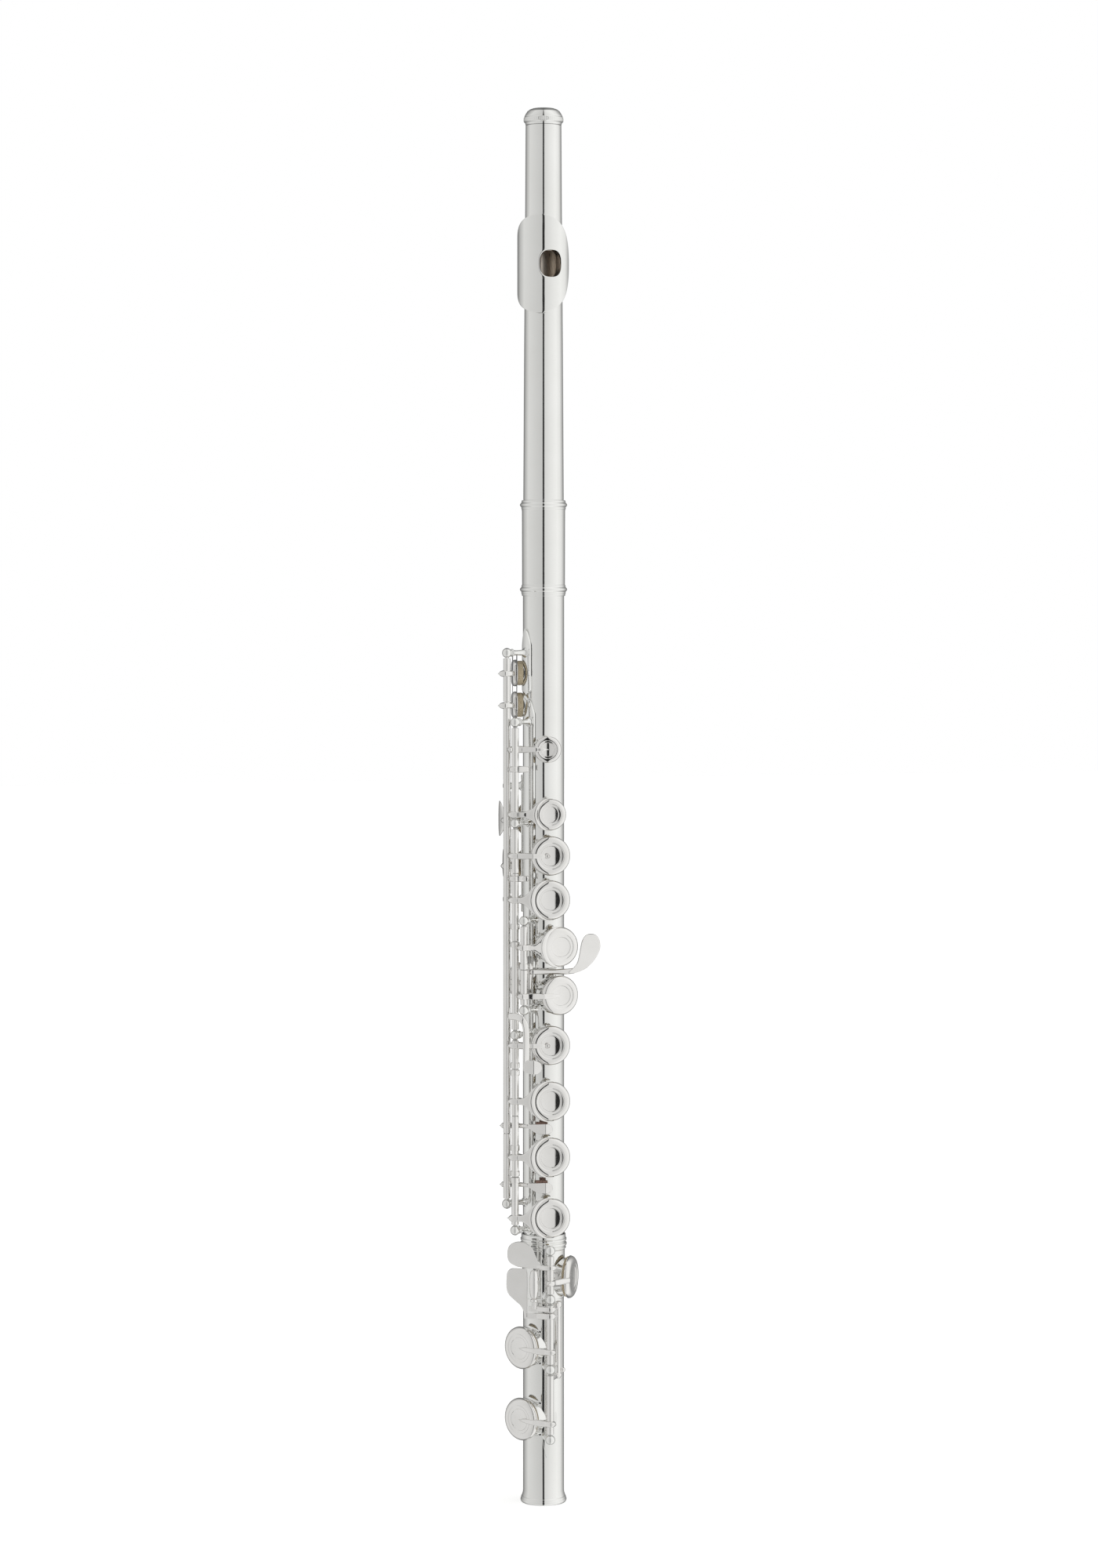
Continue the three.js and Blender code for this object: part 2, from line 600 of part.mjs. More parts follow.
// One key: its hinge tubes, cups, arms and touches as one piece, and a pad for each cup.
function key(name, { hinge, open = 0, tubes = [], cups = [], extras = [] }) {
  const group = new THREE.Group();
  const [x, y] = polar(hinge.angle, hinge.radius);
  group.position.set(x, y, 0);
  const pieces = [...tubes.map(([low, high]) => rodZ(ROD.outer, low, high)), ...extras];
  const pads = [];
  let closing = 1;
  for (const { hole, size, armOf, padName } of cups) {
    const at = reach(hole, hinge);
    closing = at.side;
    pieces.push(placed(join([cup(size, at), armOf(size, at)]), hole, at));
    pads.push([padName, placed(pad(size, at), hole, at)]);
  }
  const whole = join(pieces);
  const channel = rodZ(ROD.bore, -10, 700);
  group.rotation.z = radians(-closing * open);
  group.add(meshOf(name, tubes.length ? whole.subtract(channel) : whole, silver()));
  for (const [padName, body] of pads) group.add(meshOf(padName, body, padSkin()));
  flute.add(group);
  return group;
}

function cupOf(holes, hole, size, armOf, padName = `pad_${hole}`) {
  return { hole: holes[hole], size, armOf, padName };
}
const bodyCup = (hole, size, armOf) => cupOf(TONE_HOLES, hole, size, armOf);
const footCup = (hole, size, armOf) => cupOf(FOOT_HOLES, hole, size, armOf, `pad_foot_${hole}`);

// ---------------------------------------------------------------- assembly

// Head joint
fixed('head_tube', headTube());
fixed('head_tenon', tubeZ(HEAD.tenonOuter, HEAD.tenonOuter - HEAD.wall, HEAD.tenonLow, HEAD.low - GAP, FINE));
fixed('lip_plate', lipPlate());
fixed('embouchure_riser', riser());
fixed('crown', crown());
fixed('stopper_cork', stopperCork(), corkSkin());
fixed('stopper_screw', stopperScrew(), steel());

// Body joint: tube, straps with their posts, and the steels that the keys turn on
const POST_Z = { main: [374.9, 326.7, 225.7, 132.6], offset: [280.4, 237.8], gSharp: [261.8, 245.2] };
const TRILL_POST_Z = [407.9, 144.7];
const THUMB_POST_Z = [343.6, 289];
const FOOT_POST_Z = [123.7, 100.5, 67.1, 33.7];
const POST_BASE = 10.5;
const room = chimneyRoom(TONE_HOLES);

fixed('body_tube', bodyTube());
fixed('barrel', barrel());
fixed('rib_main', join([
  strap(-56, 19.5, 129.2, 386.2, STRAP, 2),
  ...POST_Z.main.map((z) => post(HINGE.main, z, POST_BASE)),
  ...POST_Z.offset.map((z) => post(HINGE.offset, z, POST_BASE)),
  ...POST_Z.gSharp.map((z) => post(HINGE.gSharp, z, POST_BASE, 1.8)),
  post(HINGE.trill, TRILL_POST_Z[1], POST_BASE),
]).subtract(room));
fixed('rib_trill', join([
  strap(HINGE.trill.angle, 20, 387.2, 419.5, STRAP, 3), post(HINGE.trill, TRILL_POST_Z[0], POST_BASE),
]).subtract(room));
fixed('rib_thumb', join([
  strap(HINGE.thumb.angle, 12, 283, 349, STRAP),
  ...THUMB_POST_Z.map((z) => post(HINGE.thumb, z, POST_BASE)),
]).subtract(room));

function hingeSteel(name, hinge, low, high) {
  fixed(name, turnedTo(rodZ(ROD.steel, low, high).translate([0, -hinge.radius, 0]), hinge.angle), steel());
}
hingeSteel('steel_left_hand', HINGE.main, 226.1, 376.4);
hingeSteel('steel_right_hand', HINGE.main, 131, 225.3);
hingeSteel('steel_offset_g', HINGE.offset, 236.2, 282);
hingeSteel('steel_g_sharp', HINGE.gSharp, 244, 263);
hingeSteel('steel_thumb', HINGE.thumb, 287.6, 345);

// Left hand
key('key_c', {
  hinge: HINGE.main, open: OPEN_ANGLE, tubes: [[329.5, 372.1]],
  cups: [bodyCup('csharp', TINY_CUP, pointedArm), bodyCup('c', SMALL_CUP, forkedArm)],
});
key('key_b_flat', {
  hinge: HINGE.main, open: OPEN_ANGLE, tubes: [[303, 323.9]], cups: [bodyCup('bflat', BIG_CUP, pointedArm)],
});
key('key_a', {
  hinge: HINGE.main, open: OPEN_ANGLE, tubes: [[270.6, 302.7]], cups: [bodyCup('a', BIG_CUP, forkedArm)],
});
key('key_g', {
  hinge: HINGE.offset, open: OPEN_ANGLE, tubes: [[257.3, 277.7]], cups: [bodyCup('g', BIG_CUP, forkedArm)],
});
key('key_upper_g', {
  hinge: HINGE.offset, open: OPEN_ANGLE, tubes: [[240.5, 257]], cups: [bodyCup('upper_g', BIG_CUP, pointedArm)],
});
key('key_g_sharp', {
  hinge: HINGE.gSharp, tubes: [[247.3, 259.7]], cups: [bodyCup('gsharp', THUMB_CUP, gSharpArm)],
  extras: [gSharpTouch()],
});
key('key_thumb_b', {
  hinge: HINGE.thumb, open: OPEN_ANGLE, tubes: [[318.6, 340.9]],
  cups: [bodyCup('thumb_b', THUMB_CUP, pointedArm)], extras: [thumbTouch(327.5, 8.9, 0)],
});
key('key_thumb_b_flat', {
  hinge: HINGE.thumb, open: OPEN_ANGLE, tubes: [[291.7, 318.3]],
  cups: [bodyCup('thumb_bflat', THUMB_CUP, pointedArm)], extras: [thumbTouch(306, 7, 1.9)],
});
key('lever_b_flat', { hinge: HINGE.main, tubes: [[228.4, 270.3]], extras: [sideLeverTouch()] });

// Right hand
key('key_f_sharp', {
  hinge: HINGE.main, open: OPEN_ANGLE, tubes: [[209.7, 223]], cups: [bodyCup('fsharp', BIG_CUP, pointedArm)],
});
key('key_f', {
  hinge: HINGE.main, open: OPEN_ANGLE, tubes: [[187.4, 209.4]], cups: [bodyCup('f', BIG_CUP, forkedArm)],
});
key('key_e', {
  hinge: HINGE.main, open: OPEN_ANGLE, tubes: [[158.3, 187.1]], cups: [bodyCup('e', BIG_CUP, forkedArm)],
});
key('key_d', {
  hinge: HINGE.main, open: OPEN_ANGLE, tubes: [[135.3, 158]], cups: [bodyCup('d', BIG_CUP, forkedArm)],
});

// Trill keys. The D sharp key is pinned to the long steel, which runs through the D key's tube.
key('key_trill_d', {
  hinge: HINGE.trill, tubes: [[178.6, 384.5]], cups: [bodyCup('trill_d', TRILL_CUP, droppedArm)],
  extras: [trillTouch(181)],
});
key('key_trill_d_sharp', {
  hinge: HINGE.trill, cups: [bodyCup('trill_dsharp', TRILL_CUP, droppedArm)],
  extras: [
    rodZ(ROD.steel, 143, 409.6), rodZ(ROD.outer, 384.8, 405.2), rodZ(ROD.outer, 147.4, 178.3),
    trillTouch(152.9),
  ],
});

// Foot joint
const footRoom = chimneyRoom(FOOT_HOLES);
fixed('foot_tube', footTube());
const footStrap = join([
  strap(HINGE.foot.angle, 15.5, 22.5, 121, FOOT_STRAP, 14, 1),
  strap(HINGE.foot.angle, 12, 119.4, 126.6, { inner: 10.9, outer: 12 }, 1, 2),
  ...FOOT_POST_Z.map((z) => post(HINGE.foot, z, 10.8)),
]);
const ringRoom = rodZ(11.2 + GAP, FOOT.ringLow - GAP, FOOT.top + 1, FINE);
fixed('foot_rib', footStrap.subtract(footRoom).subtract(ringRoom));
hingeSteel('steel_foot', HINGE.foot, 32, 125.2);
key('key_foot_d_sharp', {
  hinge: HINGE.foot, tubes: [[103.2, 121]], cups: [footCup('dsharp', FOOT_CUP, pointedArm)],
  extras: [dSharpSpatula()],
});
key('key_foot_c_sharp', {
  hinge: HINGE.foot, open: FOOT_OPEN_ANGLE, tubes: [[69.8, 94.1]],
  cups: [footCup('csharp', FOOT_CUP, pointedArm)], extras: [cSharpSpatula()],
});
const cKey = key('key_foot_c', {
  hinge: HINGE.foot, open: FOOT_OPEN_ANGLE, tubes: [[94.4, 97.6], [36.4, 64.3]],
  cups: [footCup('c', FOOT_CUP, pointedArm)], extras: [cLever()],
});
cKey.add(meshOf('roller_c', roller(), silver()));

export default flute;
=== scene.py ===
"""Looks of a concert flute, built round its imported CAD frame.

Lengths in this script are millimetres; MM turns them into Blender's metres when a mesh is made.
Places come from the frame: hinge lines from the joints, cups from the pads' solids, and tube spans and
posts from the CAD nodes. A key is drawn in the frame of its hinge: x runs across to the cup, "out"
points away from the bore, and z runs up the flute.
"""
import json
import math

import bmesh
import bpy
import numpy as np
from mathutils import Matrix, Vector


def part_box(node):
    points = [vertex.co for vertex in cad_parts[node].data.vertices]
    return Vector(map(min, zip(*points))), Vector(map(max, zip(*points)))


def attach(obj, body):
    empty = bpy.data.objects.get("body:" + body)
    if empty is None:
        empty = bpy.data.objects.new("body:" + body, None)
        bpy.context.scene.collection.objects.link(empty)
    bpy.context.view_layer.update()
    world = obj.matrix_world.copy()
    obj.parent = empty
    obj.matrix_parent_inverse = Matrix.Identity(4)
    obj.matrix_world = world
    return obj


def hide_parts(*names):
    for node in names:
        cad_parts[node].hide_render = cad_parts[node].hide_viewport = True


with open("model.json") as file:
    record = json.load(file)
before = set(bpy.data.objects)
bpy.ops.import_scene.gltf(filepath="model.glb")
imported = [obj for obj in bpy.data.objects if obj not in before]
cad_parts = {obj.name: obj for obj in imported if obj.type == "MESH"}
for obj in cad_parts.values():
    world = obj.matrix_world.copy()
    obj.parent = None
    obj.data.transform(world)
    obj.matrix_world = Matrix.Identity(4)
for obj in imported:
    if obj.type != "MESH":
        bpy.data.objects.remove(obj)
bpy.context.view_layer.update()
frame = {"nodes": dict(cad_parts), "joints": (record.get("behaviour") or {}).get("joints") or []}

MM = 0.001
JOINTS = {joint["child"]: joint for joint in frame["joints"]}
Z = np.array([0.0, 0.0, 1.0])

# ---------------------------------------------------------------- driving dimensions

WALL = 0.4
ROD = {"outer": 1.72, "steel": 0.95, "ball": 2.35, "stem": 1.35, "foot": 2.5}
CUP = {"lip": 1.1, "top": 3.35, "edge": 0.23}
STRAP_EDGE = 0.6
SHARP_ANGLE = 38                  # edges that turn by more than this stay sharp
TOUCH_ANGLE = -13.5               # the touches face the fingers at this angle round the bore
CAMERA = {"azimuth": -13.5, "distance": 1885.0, "height": 453.0, "lens": 90.0,
          "shift_x": 0.0035, "shift_y": -0.1438}

# ---------------------------------------------------------------- materials


def material(name, color, roughness, metallic=0.0):
    made = bpy.data.materials.new(name)
    made.use_nodes = True
    tree = made.node_tree
    shader = tree.nodes["Principled BSDF"]
    shader.inputs["Base Color"].default_value = (*color, 1)
    shader.inputs["Roughness"].default_value = roughness
    shader.inputs["Metallic"].default_value = metallic
    return made, tree, shader


def noise(tree, scale, detail=4.0, stretch=(1, 1, 1)):
    """Noise in object space, so it stays with its piece."""
    place = tree.nodes.new("ShaderNodeTexCoord")
    mapping = tree.nodes.new("ShaderNodeMapping")
    mapping.inputs["Scale"].default_value = stretch
    texture = tree.nodes.new("ShaderNodeTexNoise")
    texture.inputs["Scale"].default_value = scale
    texture.inputs["Detail"].default_value = detail
    tree.links.new(place.outputs["Object"], mapping.inputs["Vector"])
    tree.links.new(mapping.outputs["Vector"], texture.inputs["Vector"])
    return texture.outputs["Fac"]


def spread(tree, source, low, high, start=0.3, end=0.7):
    """A value between low and high, driven by a noise."""
    remap = tree.nodes.new("ShaderNodeMapRange")
    remap.inputs["From Min"].default_value = start
    remap.inputs["From Max"].default_value = end
    remap.inputs["To Min"].default_value = low
    remap.inputs["To Max"].default_value = high
    tree.links.new(source, remap.inputs["Value"])
    return remap.outputs["Result"]


def ramp(tree, source, stops):
    colors = tree.nodes.new("ShaderNodeValToRGB")
    elements = colors.color_ramp.elements
    while len(elements) < len(stops):
        elements.new(1.0)
    for element, (place, color) in zip(elements, stops):
        element.position = place
        element.color = (*color, 1)
    tree.links.new(source, colors.inputs["Fac"])
    return colors.outputs["Color"]


def bump(tree, shader, source, strength, distance):
    node = tree.nodes.new("ShaderNodeBump")
    node.inputs["Strength"].default_value = strength
    node.inputs["Distance"].default_value = distance
    tree.links.new(source, node.inputs["Height"])
    tree.links.new(node.outputs["Normal"], shader.inputs["Normal"])


def finish(name, color, roughness, metallic=1.0, tone=None, wear=None, relief=None):
    """A material whose color, roughness and relief may each follow a noise of their own.

    tone is (noise, ramp stops), wear is (noise, low, high) and relief is (noise, strength, distance).
    """
    made, tree, shader = material(name, color, roughness, metallic)
    if tone:
        tree.links.new(ramp(tree, noise(tree, *tone[0]), tone[1]), shader.inputs["Base Color"])
    if wear:
        tree.links.new(spread(tree, noise(tree, *wear[0]), *wear[1:]), shader.inputs["Roughness"])
    if relief:
        bump(tree, shader, noise(tree, *relief[0]), *relief[1:])
    return made


def cork():
    """Cut cork: dark brown with darker pores."""
    made, tree, shader = material("cut_cork", (0.2, 0.13, 0.09), 0.85)
    place = tree.nodes.new("ShaderNodeTexCoord")
    pores = tree.nodes.new("ShaderNodeTexVoronoi")
    pores.inputs["Scale"].default_value = 900
    tree.links.new(place.outputs["Object"], pores.inputs["Vector"])
    tone = ramp(tree, pores.outputs["Distance"], [(0.1, (0.09, 0.055, 0.045)), (0.45, (0.2, 0.125, 0.1))])
    tree.links.new(tone, shader.inputs["Base Color"])
    bump(tree, shader, pores.outputs["Distance"], 0.6, 0.0002)
    return made


# Polished plate on the tubes: a faint cloudy tone, hairline buffing marks round the tube, soft smears.
SILVER = finish("tube_silver", (0.87, 0.87, 0.855), 0.06,
                tone=((45,), [(0.35, (0.855, 0.855, 0.84)), (0.7, (0.89, 0.89, 0.88))]),
                wear=((90, 6), 0.045, 0.08), relief=((260, 3, (1, 1, 9)), 0.05, 0.00004))
# The same plate on cast and turned key work, a little softer and warmer.
KEY_SILVER = finish("key_silver", (0.87, 0.86, 0.845), 0.07,
                    tone=((120,), [(0.3, (0.845, 0.835, 0.82)), (0.7, (0.89, 0.88, 0.87))]),
                    wear=((220, 5), 0.05, 0.09), relief=((700, 3), 0.06, 0.00003))
# The unpolished inside of the head joint: dull, brownish silver.
INNER_SILVER = finish("bore_silver", (0.8, 0.72, 0.64), 0.32,
                      tone=((60, 5, (1, 1, 0.3)), [(0.3, (0.72, 0.64, 0.56)), (0.7, (0.88, 0.81, 0.73))]),
                      relief=((400, 3, (1, 1, 0.2)), 0.1, 0.00004))
STEEL = finish("rod_steel", (0.5, 0.5, 0.49), 0.28, wear=((900, 3), 0.2, 0.36),
               relief=((1500, 2, (1, 1, 0.2)), 0.15, 0.00004))
NEEDLE = finish("needle_steel", (0.30, 0.30, 0.31), 0.3, wear=((1200, 2), 0.22, 0.4))
# Stretched membrane over felt: tan, with a fine crinkle and a soft sheen.
PAD = finish("pad_membrane", (0.5, 0.42, 0.29), 0.5, metallic=0.0,
             tone=((300, 5), [(0.3, (0.36, 0.29, 0.18)), (0.7, (0.54, 0.46, 0.32))]),
             relief=((1400, 6), 0.4, 0.00012))
PAD.node_tree.nodes["Principled BSDF"].inputs["Sheen Weight"].default_value = 0.25
CORK = cork()

# ---------------------------------------------------------------- shells
# A shell is (points, faces) in millimetres; a piece is one mesh made of one or more shells.


def skin(rings, closed=False):
    """A shell through rings of equally many points, capped at both ends or closed on itself."""
    count, around = len(rings), len(rings[0])
    faces = []
    for i in range(count if closed else count - 1):
        a, b = i * around, ((i + 1) % count) * around
        for k in range(around):
            m = (k + 1) % around
            faces.append((a + k, a + m, b + m, b + k))
    if not closed:
        faces.append(tuple(reversed(range(around))))
        faces.append(tuple((count - 1) * around + k for k in range(around)))
    return np.concatenate(rings), faces


def place(shell, origin, x, y, z=Z):
    """Moves a shell drawn in local x, y, z to the given axes."""
    points, faces = shell
    axes = np.array([x, y, z], float)
    return points @ axes + np.array(origin, float), faces


def stand(shell, x, y, z=0):
    """Moves an upright shell from the origin to a point."""
    points, faces = shell
    return points + np.array([x, y, z], float), faces


def turned(shell, angle, pivot=(0, 0)):
    """Turns a shell about a line along z through pivot, by degrees."""
    points, faces = shell
    c, s = math.cos(math.radians(angle)), math.sin(math.radians(angle))
    moved = points.copy()
    x, y = points[:, 0] - pivot[0], points[:, 1] - pivot[1]
    moved[:, 0], moved[:, 1] = pivot[0] + c * x - s * y, pivot[1] + s * x + c * y
    return moved, faces


def build(shells):
    mesh = bpy.data.meshes.new("piece")
    points, faces, base = [], [], 0
    for shell_points, shell_faces in shells:
        points.append(shell_points * MM)
        faces += [tuple(base + i for i in face) for face in shell_faces]
        base += len(shell_points)
    mesh.from_pydata(np.concatenate(points).tolist(), [], faces)
    tidy = bmesh.new()
    tidy.from_mesh(mesh)
    bmesh.ops.remove_doubles(tidy, verts=tidy.verts, dist=2e-7)
    bmesh.ops.dissolve_degenerate(tidy, edges=tidy.edges, dist=1e-8)
    bmesh.ops.recalc_face_normals(tidy, faces=tidy.faces)
    tidy.to_mesh(mesh)
    tidy.free()
    return mesh


def piece(name, body, shells, surface, replaced=()):
    """One visible piece, which rides on a body and may stand for CAD nodes."""
    mesh = build(shells)
    made = bpy.data.objects.new(name, mesh)
    bpy.context.scene.collection.objects.link(made)
    mesh.materials.append(surface)
    smooth(made)
    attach(made, body)
    if replaced:
        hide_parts(*replaced)
    return made


def smooth(made):
    made.data.shade_smooth()
    made.data.set_sharp_from_angle(angle=math.radians(SHARP_ANGLE))


def fillet(profile, radius, steps=4):
    """Rounds the inner corners of a polyline."""
    points = [np.array(p, float) for p in profile]
    out = [points[0]]
    for before, corner, after in zip(points, points[1:], points[2:]):
        a, b = before - corner, after - corner
        reach = min(radius, 0.45 * np.linalg.norm(a), 0.45 * np.linalg.norm(b))
        start = corner + a / np.linalg.norm(a) * reach
        end = corner + b / np.linalg.norm(b) * reach
        for i in range(steps + 1):
            t = i / steps
            out.append((1 - t) ** 2 * start + 2 * t * (1 - t) * corner + t * t * end)
    out.append(points[-1])
    return out


def circle(count):
    """Evenly spaced turns round a circle, in radians."""
    return np.linspace(0, 2 * math.pi, count, endpoint=False)


def lathe(profile, sides=48, closed=False, ripple=None):
    """A profile of (radius, height) turned about local z. ripple(height, turn) adds to the radius."""
    turns = circle(sides)
    rings = []
    for radius, height in profile:
        grown = radius + (ripple(height, turns) if ripple and radius > 0.01 else 0)
        rings.append(np.column_stack([grown * np.cos(turns), grown * np.sin(turns), np.full(sides, height)]))
    return skin(rings, closed)


def arc(radius, start, end, steps, center=(0, 0)):
    """Points of an arc, angles in degrees from the local x axis."""
    angles = np.radians(np.linspace(start, end, steps + 1))
    return [(center[0] + radius * math.cos(a), center[1] + radius * math.sin(a)) for a in angles]


def spline(rows, per=6):
    """A smooth run through rows of numbers (Catmull-Rom)."""
    rows = [np.array(r, float) for r in rows]
    padded = [2 * rows[0] - rows[1], *rows, 2 * rows[-1] - rows[-2]]
    out = []
    for a, b, c, d in zip(padded, padded[1:], padded[2:], padded[3:]):
        for i in range(per):
            t = i / per
            out.append(0.5 * (2 * b + (c - a) * t + (2 * a - 5 * b + 4 * c - d) * t * t
                              + (3 * b - a - 3 * c + d) * t ** 3))
    out.append(rows[-1])
    return out


def oval(half_width, half_length, turns, power):
    """A rounded rectangle as two rows of numbers, rounder for a lower power."""
    return [half * np.sign(wave) * np.abs(wave) ** (2 / power)
            for half, wave in ((half_width, np.cos(turns)), (half_length, np.sin(turns)))]


def bar(rows, up=(0, 1, 0), power=3.0, sides=16, per=6, ends=(0.5, 0.5)):
    """A bar along a smooth run of (x, out, z, width, thickness) rows, its tips rounded by ends."""
    run = spline(rows, per)
    centers = np.array([r[:3] for r in run])
    halves = np.maximum(np.array([r[3:5] for r in run]) / 2, 0.02)
    tangents = np.gradient(centers, axis=0)
    tangents /= np.linalg.norm(tangents, axis=1)[:, None]
    across, rise = oval(1, 1, circle(sides) + math.pi / sides, power)
    rings = []

    def ring(center, tangent, half, scale=1.0):
        side = np.cross(tangent, up)
        side /= np.linalg.norm(side)
        top = np.cross(side, tangent)
        half_width, half_thick = half
        trimmed = half - (1 - scale) * min(half_width, half_thick)
        rings.append(center + np.outer(across * trimmed[0], side) + np.outer(rise * trimmed[1], top))

    def cap(end, length, turns):
        for turn in turns:
            center = centers[end] + tangents[end] * length * math.cos(turn)
            ring(center, tangents[end], halves[end], math.sin(turn) * 0.98 + 0.02)

    quarter = np.radians([0, 22.5, 45, 67.5])
    cap(0, -ends[0], quarter)
    for center, tangent, half in zip(centers, tangents, halves):
        ring(center, tangent, half)
    cap(-1, ends[1], quarter[::-1])
    return skin(rings)


def ribbon(rows, lift, thick=1.3, upright=False, per=5):
    """A plate with softened edges, drawn as rows of (place, low, high) along x, or along z when upright.

    lift(x) is the height of its top.
    """
    run = spline(rows, per)
    rings = []
    for i, (at, low, high) in enumerate(run):
        inset = min(0.28, 0.2 * (high - low))
        outline = [(low, 0.4), (low + 0.3 * inset, 0.12), (low + inset, 0), (low + 2 * inset, 0),
                   (high - 2 * inset, 0), (high - inset, 0), (high - 0.3 * inset, 0.12), (high, 0.4),
                   (high, thick - 0.3), (high - inset, thick), (low + inset, thick), (low, thick - 0.3)]
        tip = 0.3 if i in (0, len(run) - 1) else 0.0
        ring = []
        for side, drop in outline:
            x, z = (side, at) if upright else (at, side)
            ring.append((x, lift(x) - drop - tip * (1 - 2 * drop / thick), z))
        rings.append(np.array(ring))
    return skin(rings)


def ball(center, radius, squash=1.0, sides=24):
    profile = [(radius * math.sin(a), -radius * squash * math.cos(a)) for a in np.linspace(0, math.pi, 13)]
    return stand(lathe(profile, sides), *center)


def cut(made, cutters):
    """Cuts closed shells out of a piece."""
    tool = bpy.data.objects.new("cutter", build(cutters))
    bpy.context.scene.collection.objects.link(tool)
    modifier = made.modifiers.new("cut", "BOOLEAN")
    modifier.operation = "DIFFERENCE"
    modifier.solver = "EXACT"
    modifier.use_self = True
    modifier.object = tool
    depsgraph = bpy.context.evaluated_depsgraph_get()
    result = bpy.data.meshes.new_from_object(made.evaluated_get(depsgraph))
    made.modifiers.clear()
    made.data = result
    bpy.data.objects.remove(tool)
    smooth(made)


# ---------------------------------------------------------------- reading the frame


def cad_points(node):
    points = np.array([v.co for v in frame["nodes"][node].data.vertices], float)
    return np.unique(np.round(points / MM, 4), axis=0)


def span(node):
    low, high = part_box(node)
    return low.z / MM, high.z / MM


def unit(vector):
    vector = np.array(vector, float)
    return vector / np.linalg.norm(vector)


def hinge_of(body):
    joint = JOINTS[body]
    return np.array(joint["pos_m"][:2]) / MM


def radial(point):
    """The outward direction at a point, and the one a quarter turn on from it."""
    out = unit([point[0], point[1], 0])
    return out, np.array([-out[1], out[0], 0.0])


class Seat:
    """Where a pad's face is, which way it looks and how wide it is, read from its solid."""

    def __init__(self, node):
        points = cad_points(node)
        middle = points.mean(axis=0)
        flat = points[:, :2] - middle[:2]
        _, axes = np.linalg.eigh(flat.T @ flat)
        out = np.array([*axes[:, 0], 0.0])
        self.out = out if out @ middle > 0 else -out
        heights = (points - middle) @ self.out
        low, high = span(node)
        self.radius = (high - low) / 2
        self.thick = heights.max() - heights.min()
        self.face = np.array([*middle[:2], (low + high) / 2]) + self.out * heights.min()


class Hinge:
    """A key's hinge line, and the axes that the arm of its cup is drawn in."""

    def __init__(self, body, seat):
        self.line = np.array([*hinge_of(body), 0.0])
        self.out = seat.out
        across = np.cross(Z, seat.out)
        between = seat.face - self.line
        self.side = across if across @ between > 0 else -across
        self.across = between @ self.side
        self.seat = between @ self.out
        self.z = seat.face[2]

    def put(self, shell):
        """Moves a shell drawn as (across, out, z) from the cup's height to its place."""
        return place(shell, self.line + Z * self.z, self.side, self.out)


def travel(body):
    """How far a key turns from rest, in degrees about +z."""
    joint = JOINTS[body]
    return joint["range_deg"][1] * (1 if joint["axis"][2] > 0 else -1)


def closed_seat(node, body):
    """The pad's face and direction when the key is shut, whichever end of its travel that is."""
    seat = Seat(node)
    points = np.array([seat.face, seat.face + seat.out])
    moved, _ = turned((points, []), travel(body), hinge_of(body))
    here, there = np.linalg.norm(points[0][:2]), np.linalg.norm(moved[0][:2])
    face, tip = (moved if there < here else points)
    return face, tip - face, seat


def tube_spans(node, body, gap=1e9):
    """The stretches of hinge tube in a key, from the points of its solid that lie on the tube."""
    x, y = hinge_of(body)
    points = cad_points(node)
    away = np.hypot(points[:, 0] - x, points[:, 1] - y)
    heights = np.sort(points[np.abs(away - 1.75) < 0.02][:, 2])
    breaks = np.where(np.diff(heights) > gap)[0]
    starts = [heights[0], *heights[breaks + 1]]
    stops = [*heights[breaks], heights[-1]]
    return list(zip(starts, stops))


# ---------------------------------------------------------------- cups and pads


def on_seat(shell, seat):
    """Stands a shell turned about local z on a pad's face, looking out."""
    across = np.cross(Z, seat.out)
    return place(shell, seat.face, across, Z, seat.out)


def cup_shell(seat, domed):
    """A pressed key cup: a rounded edge, a flat shoulder, and a step down to a dished middle."""
    radius = seat.radius + 0.7
    rise = 1.0 if seat.thick > 2.5 else 0.0
    top, lip, edge = CUP["top"] + rise, CUP["lip"] + rise, CUP["edge"] * radius
    inside = [(0.0, lip + 1.0), (radius - 0.5, lip + 1.0), (radius - 0.42, lip), (radius - 0.08, lip),
              (radius, lip + 0.1)]
    wall = arc(edge, 0, 86, 10, (radius - edge, top - edge))
    if not domed:
        step = [(0.745 * radius, top + 0.035), (0.71 * radius, top + 0.04), (0.675 * radius, top + 0.02),
                (0.65 * radius, top - 0.2), (0.53 * radius, top - 0.24), (0.51 * radius, top - 0.32),
                (0.495 * radius, top - 0.5)]
        bowl = 34.0 if radius > 7 else 14.0
    else:
        step = [(0.71 * radius, top + 0.06), (0.66 * radius, top + 0.02), (0.64 * radius, top - 0.12)]
        bowl = -45.0
    dish = step[-1][0] - 0.01 * radius
    depth = bowl - math.copysign(math.sqrt(bowl ** 2 - dish ** 2), bowl)
    floor = [(r, step[-1][1] - 0.02 - depth + bowl - math.copysign(math.sqrt(bowl ** 2 - r ** 2), bowl))
             for r in np.linspace(dish, 0, 10)]
    return lathe([*inside, *wall, *fillet([wall[-1], *step], 0.3, 4), *floor], 80)


def pad_shell(seat):
    """A pad: its skin bulges round the chimney that presses a ring into it."""
    radius, thick = seat.radius, seat.thick
    skirt = 0.75 if thick > 2.5 else 0.45
    inner = radius - 0.42
    outline = [
        (0, 0.02), (inner - 0.6, 0.0), (inner - 0.35, 0.08), (inner, 0.08), (inner + 0.06, -skirt),
        (radius + 0.12, 0.15 - skirt), (radius + 0.2, 0.4), (radius + 0.1, thick - 0.15),
        (radius - 0.2, thick),
        (0, thick),
    ]
    return lathe(fillet(outline, 0.2, 3), 48)


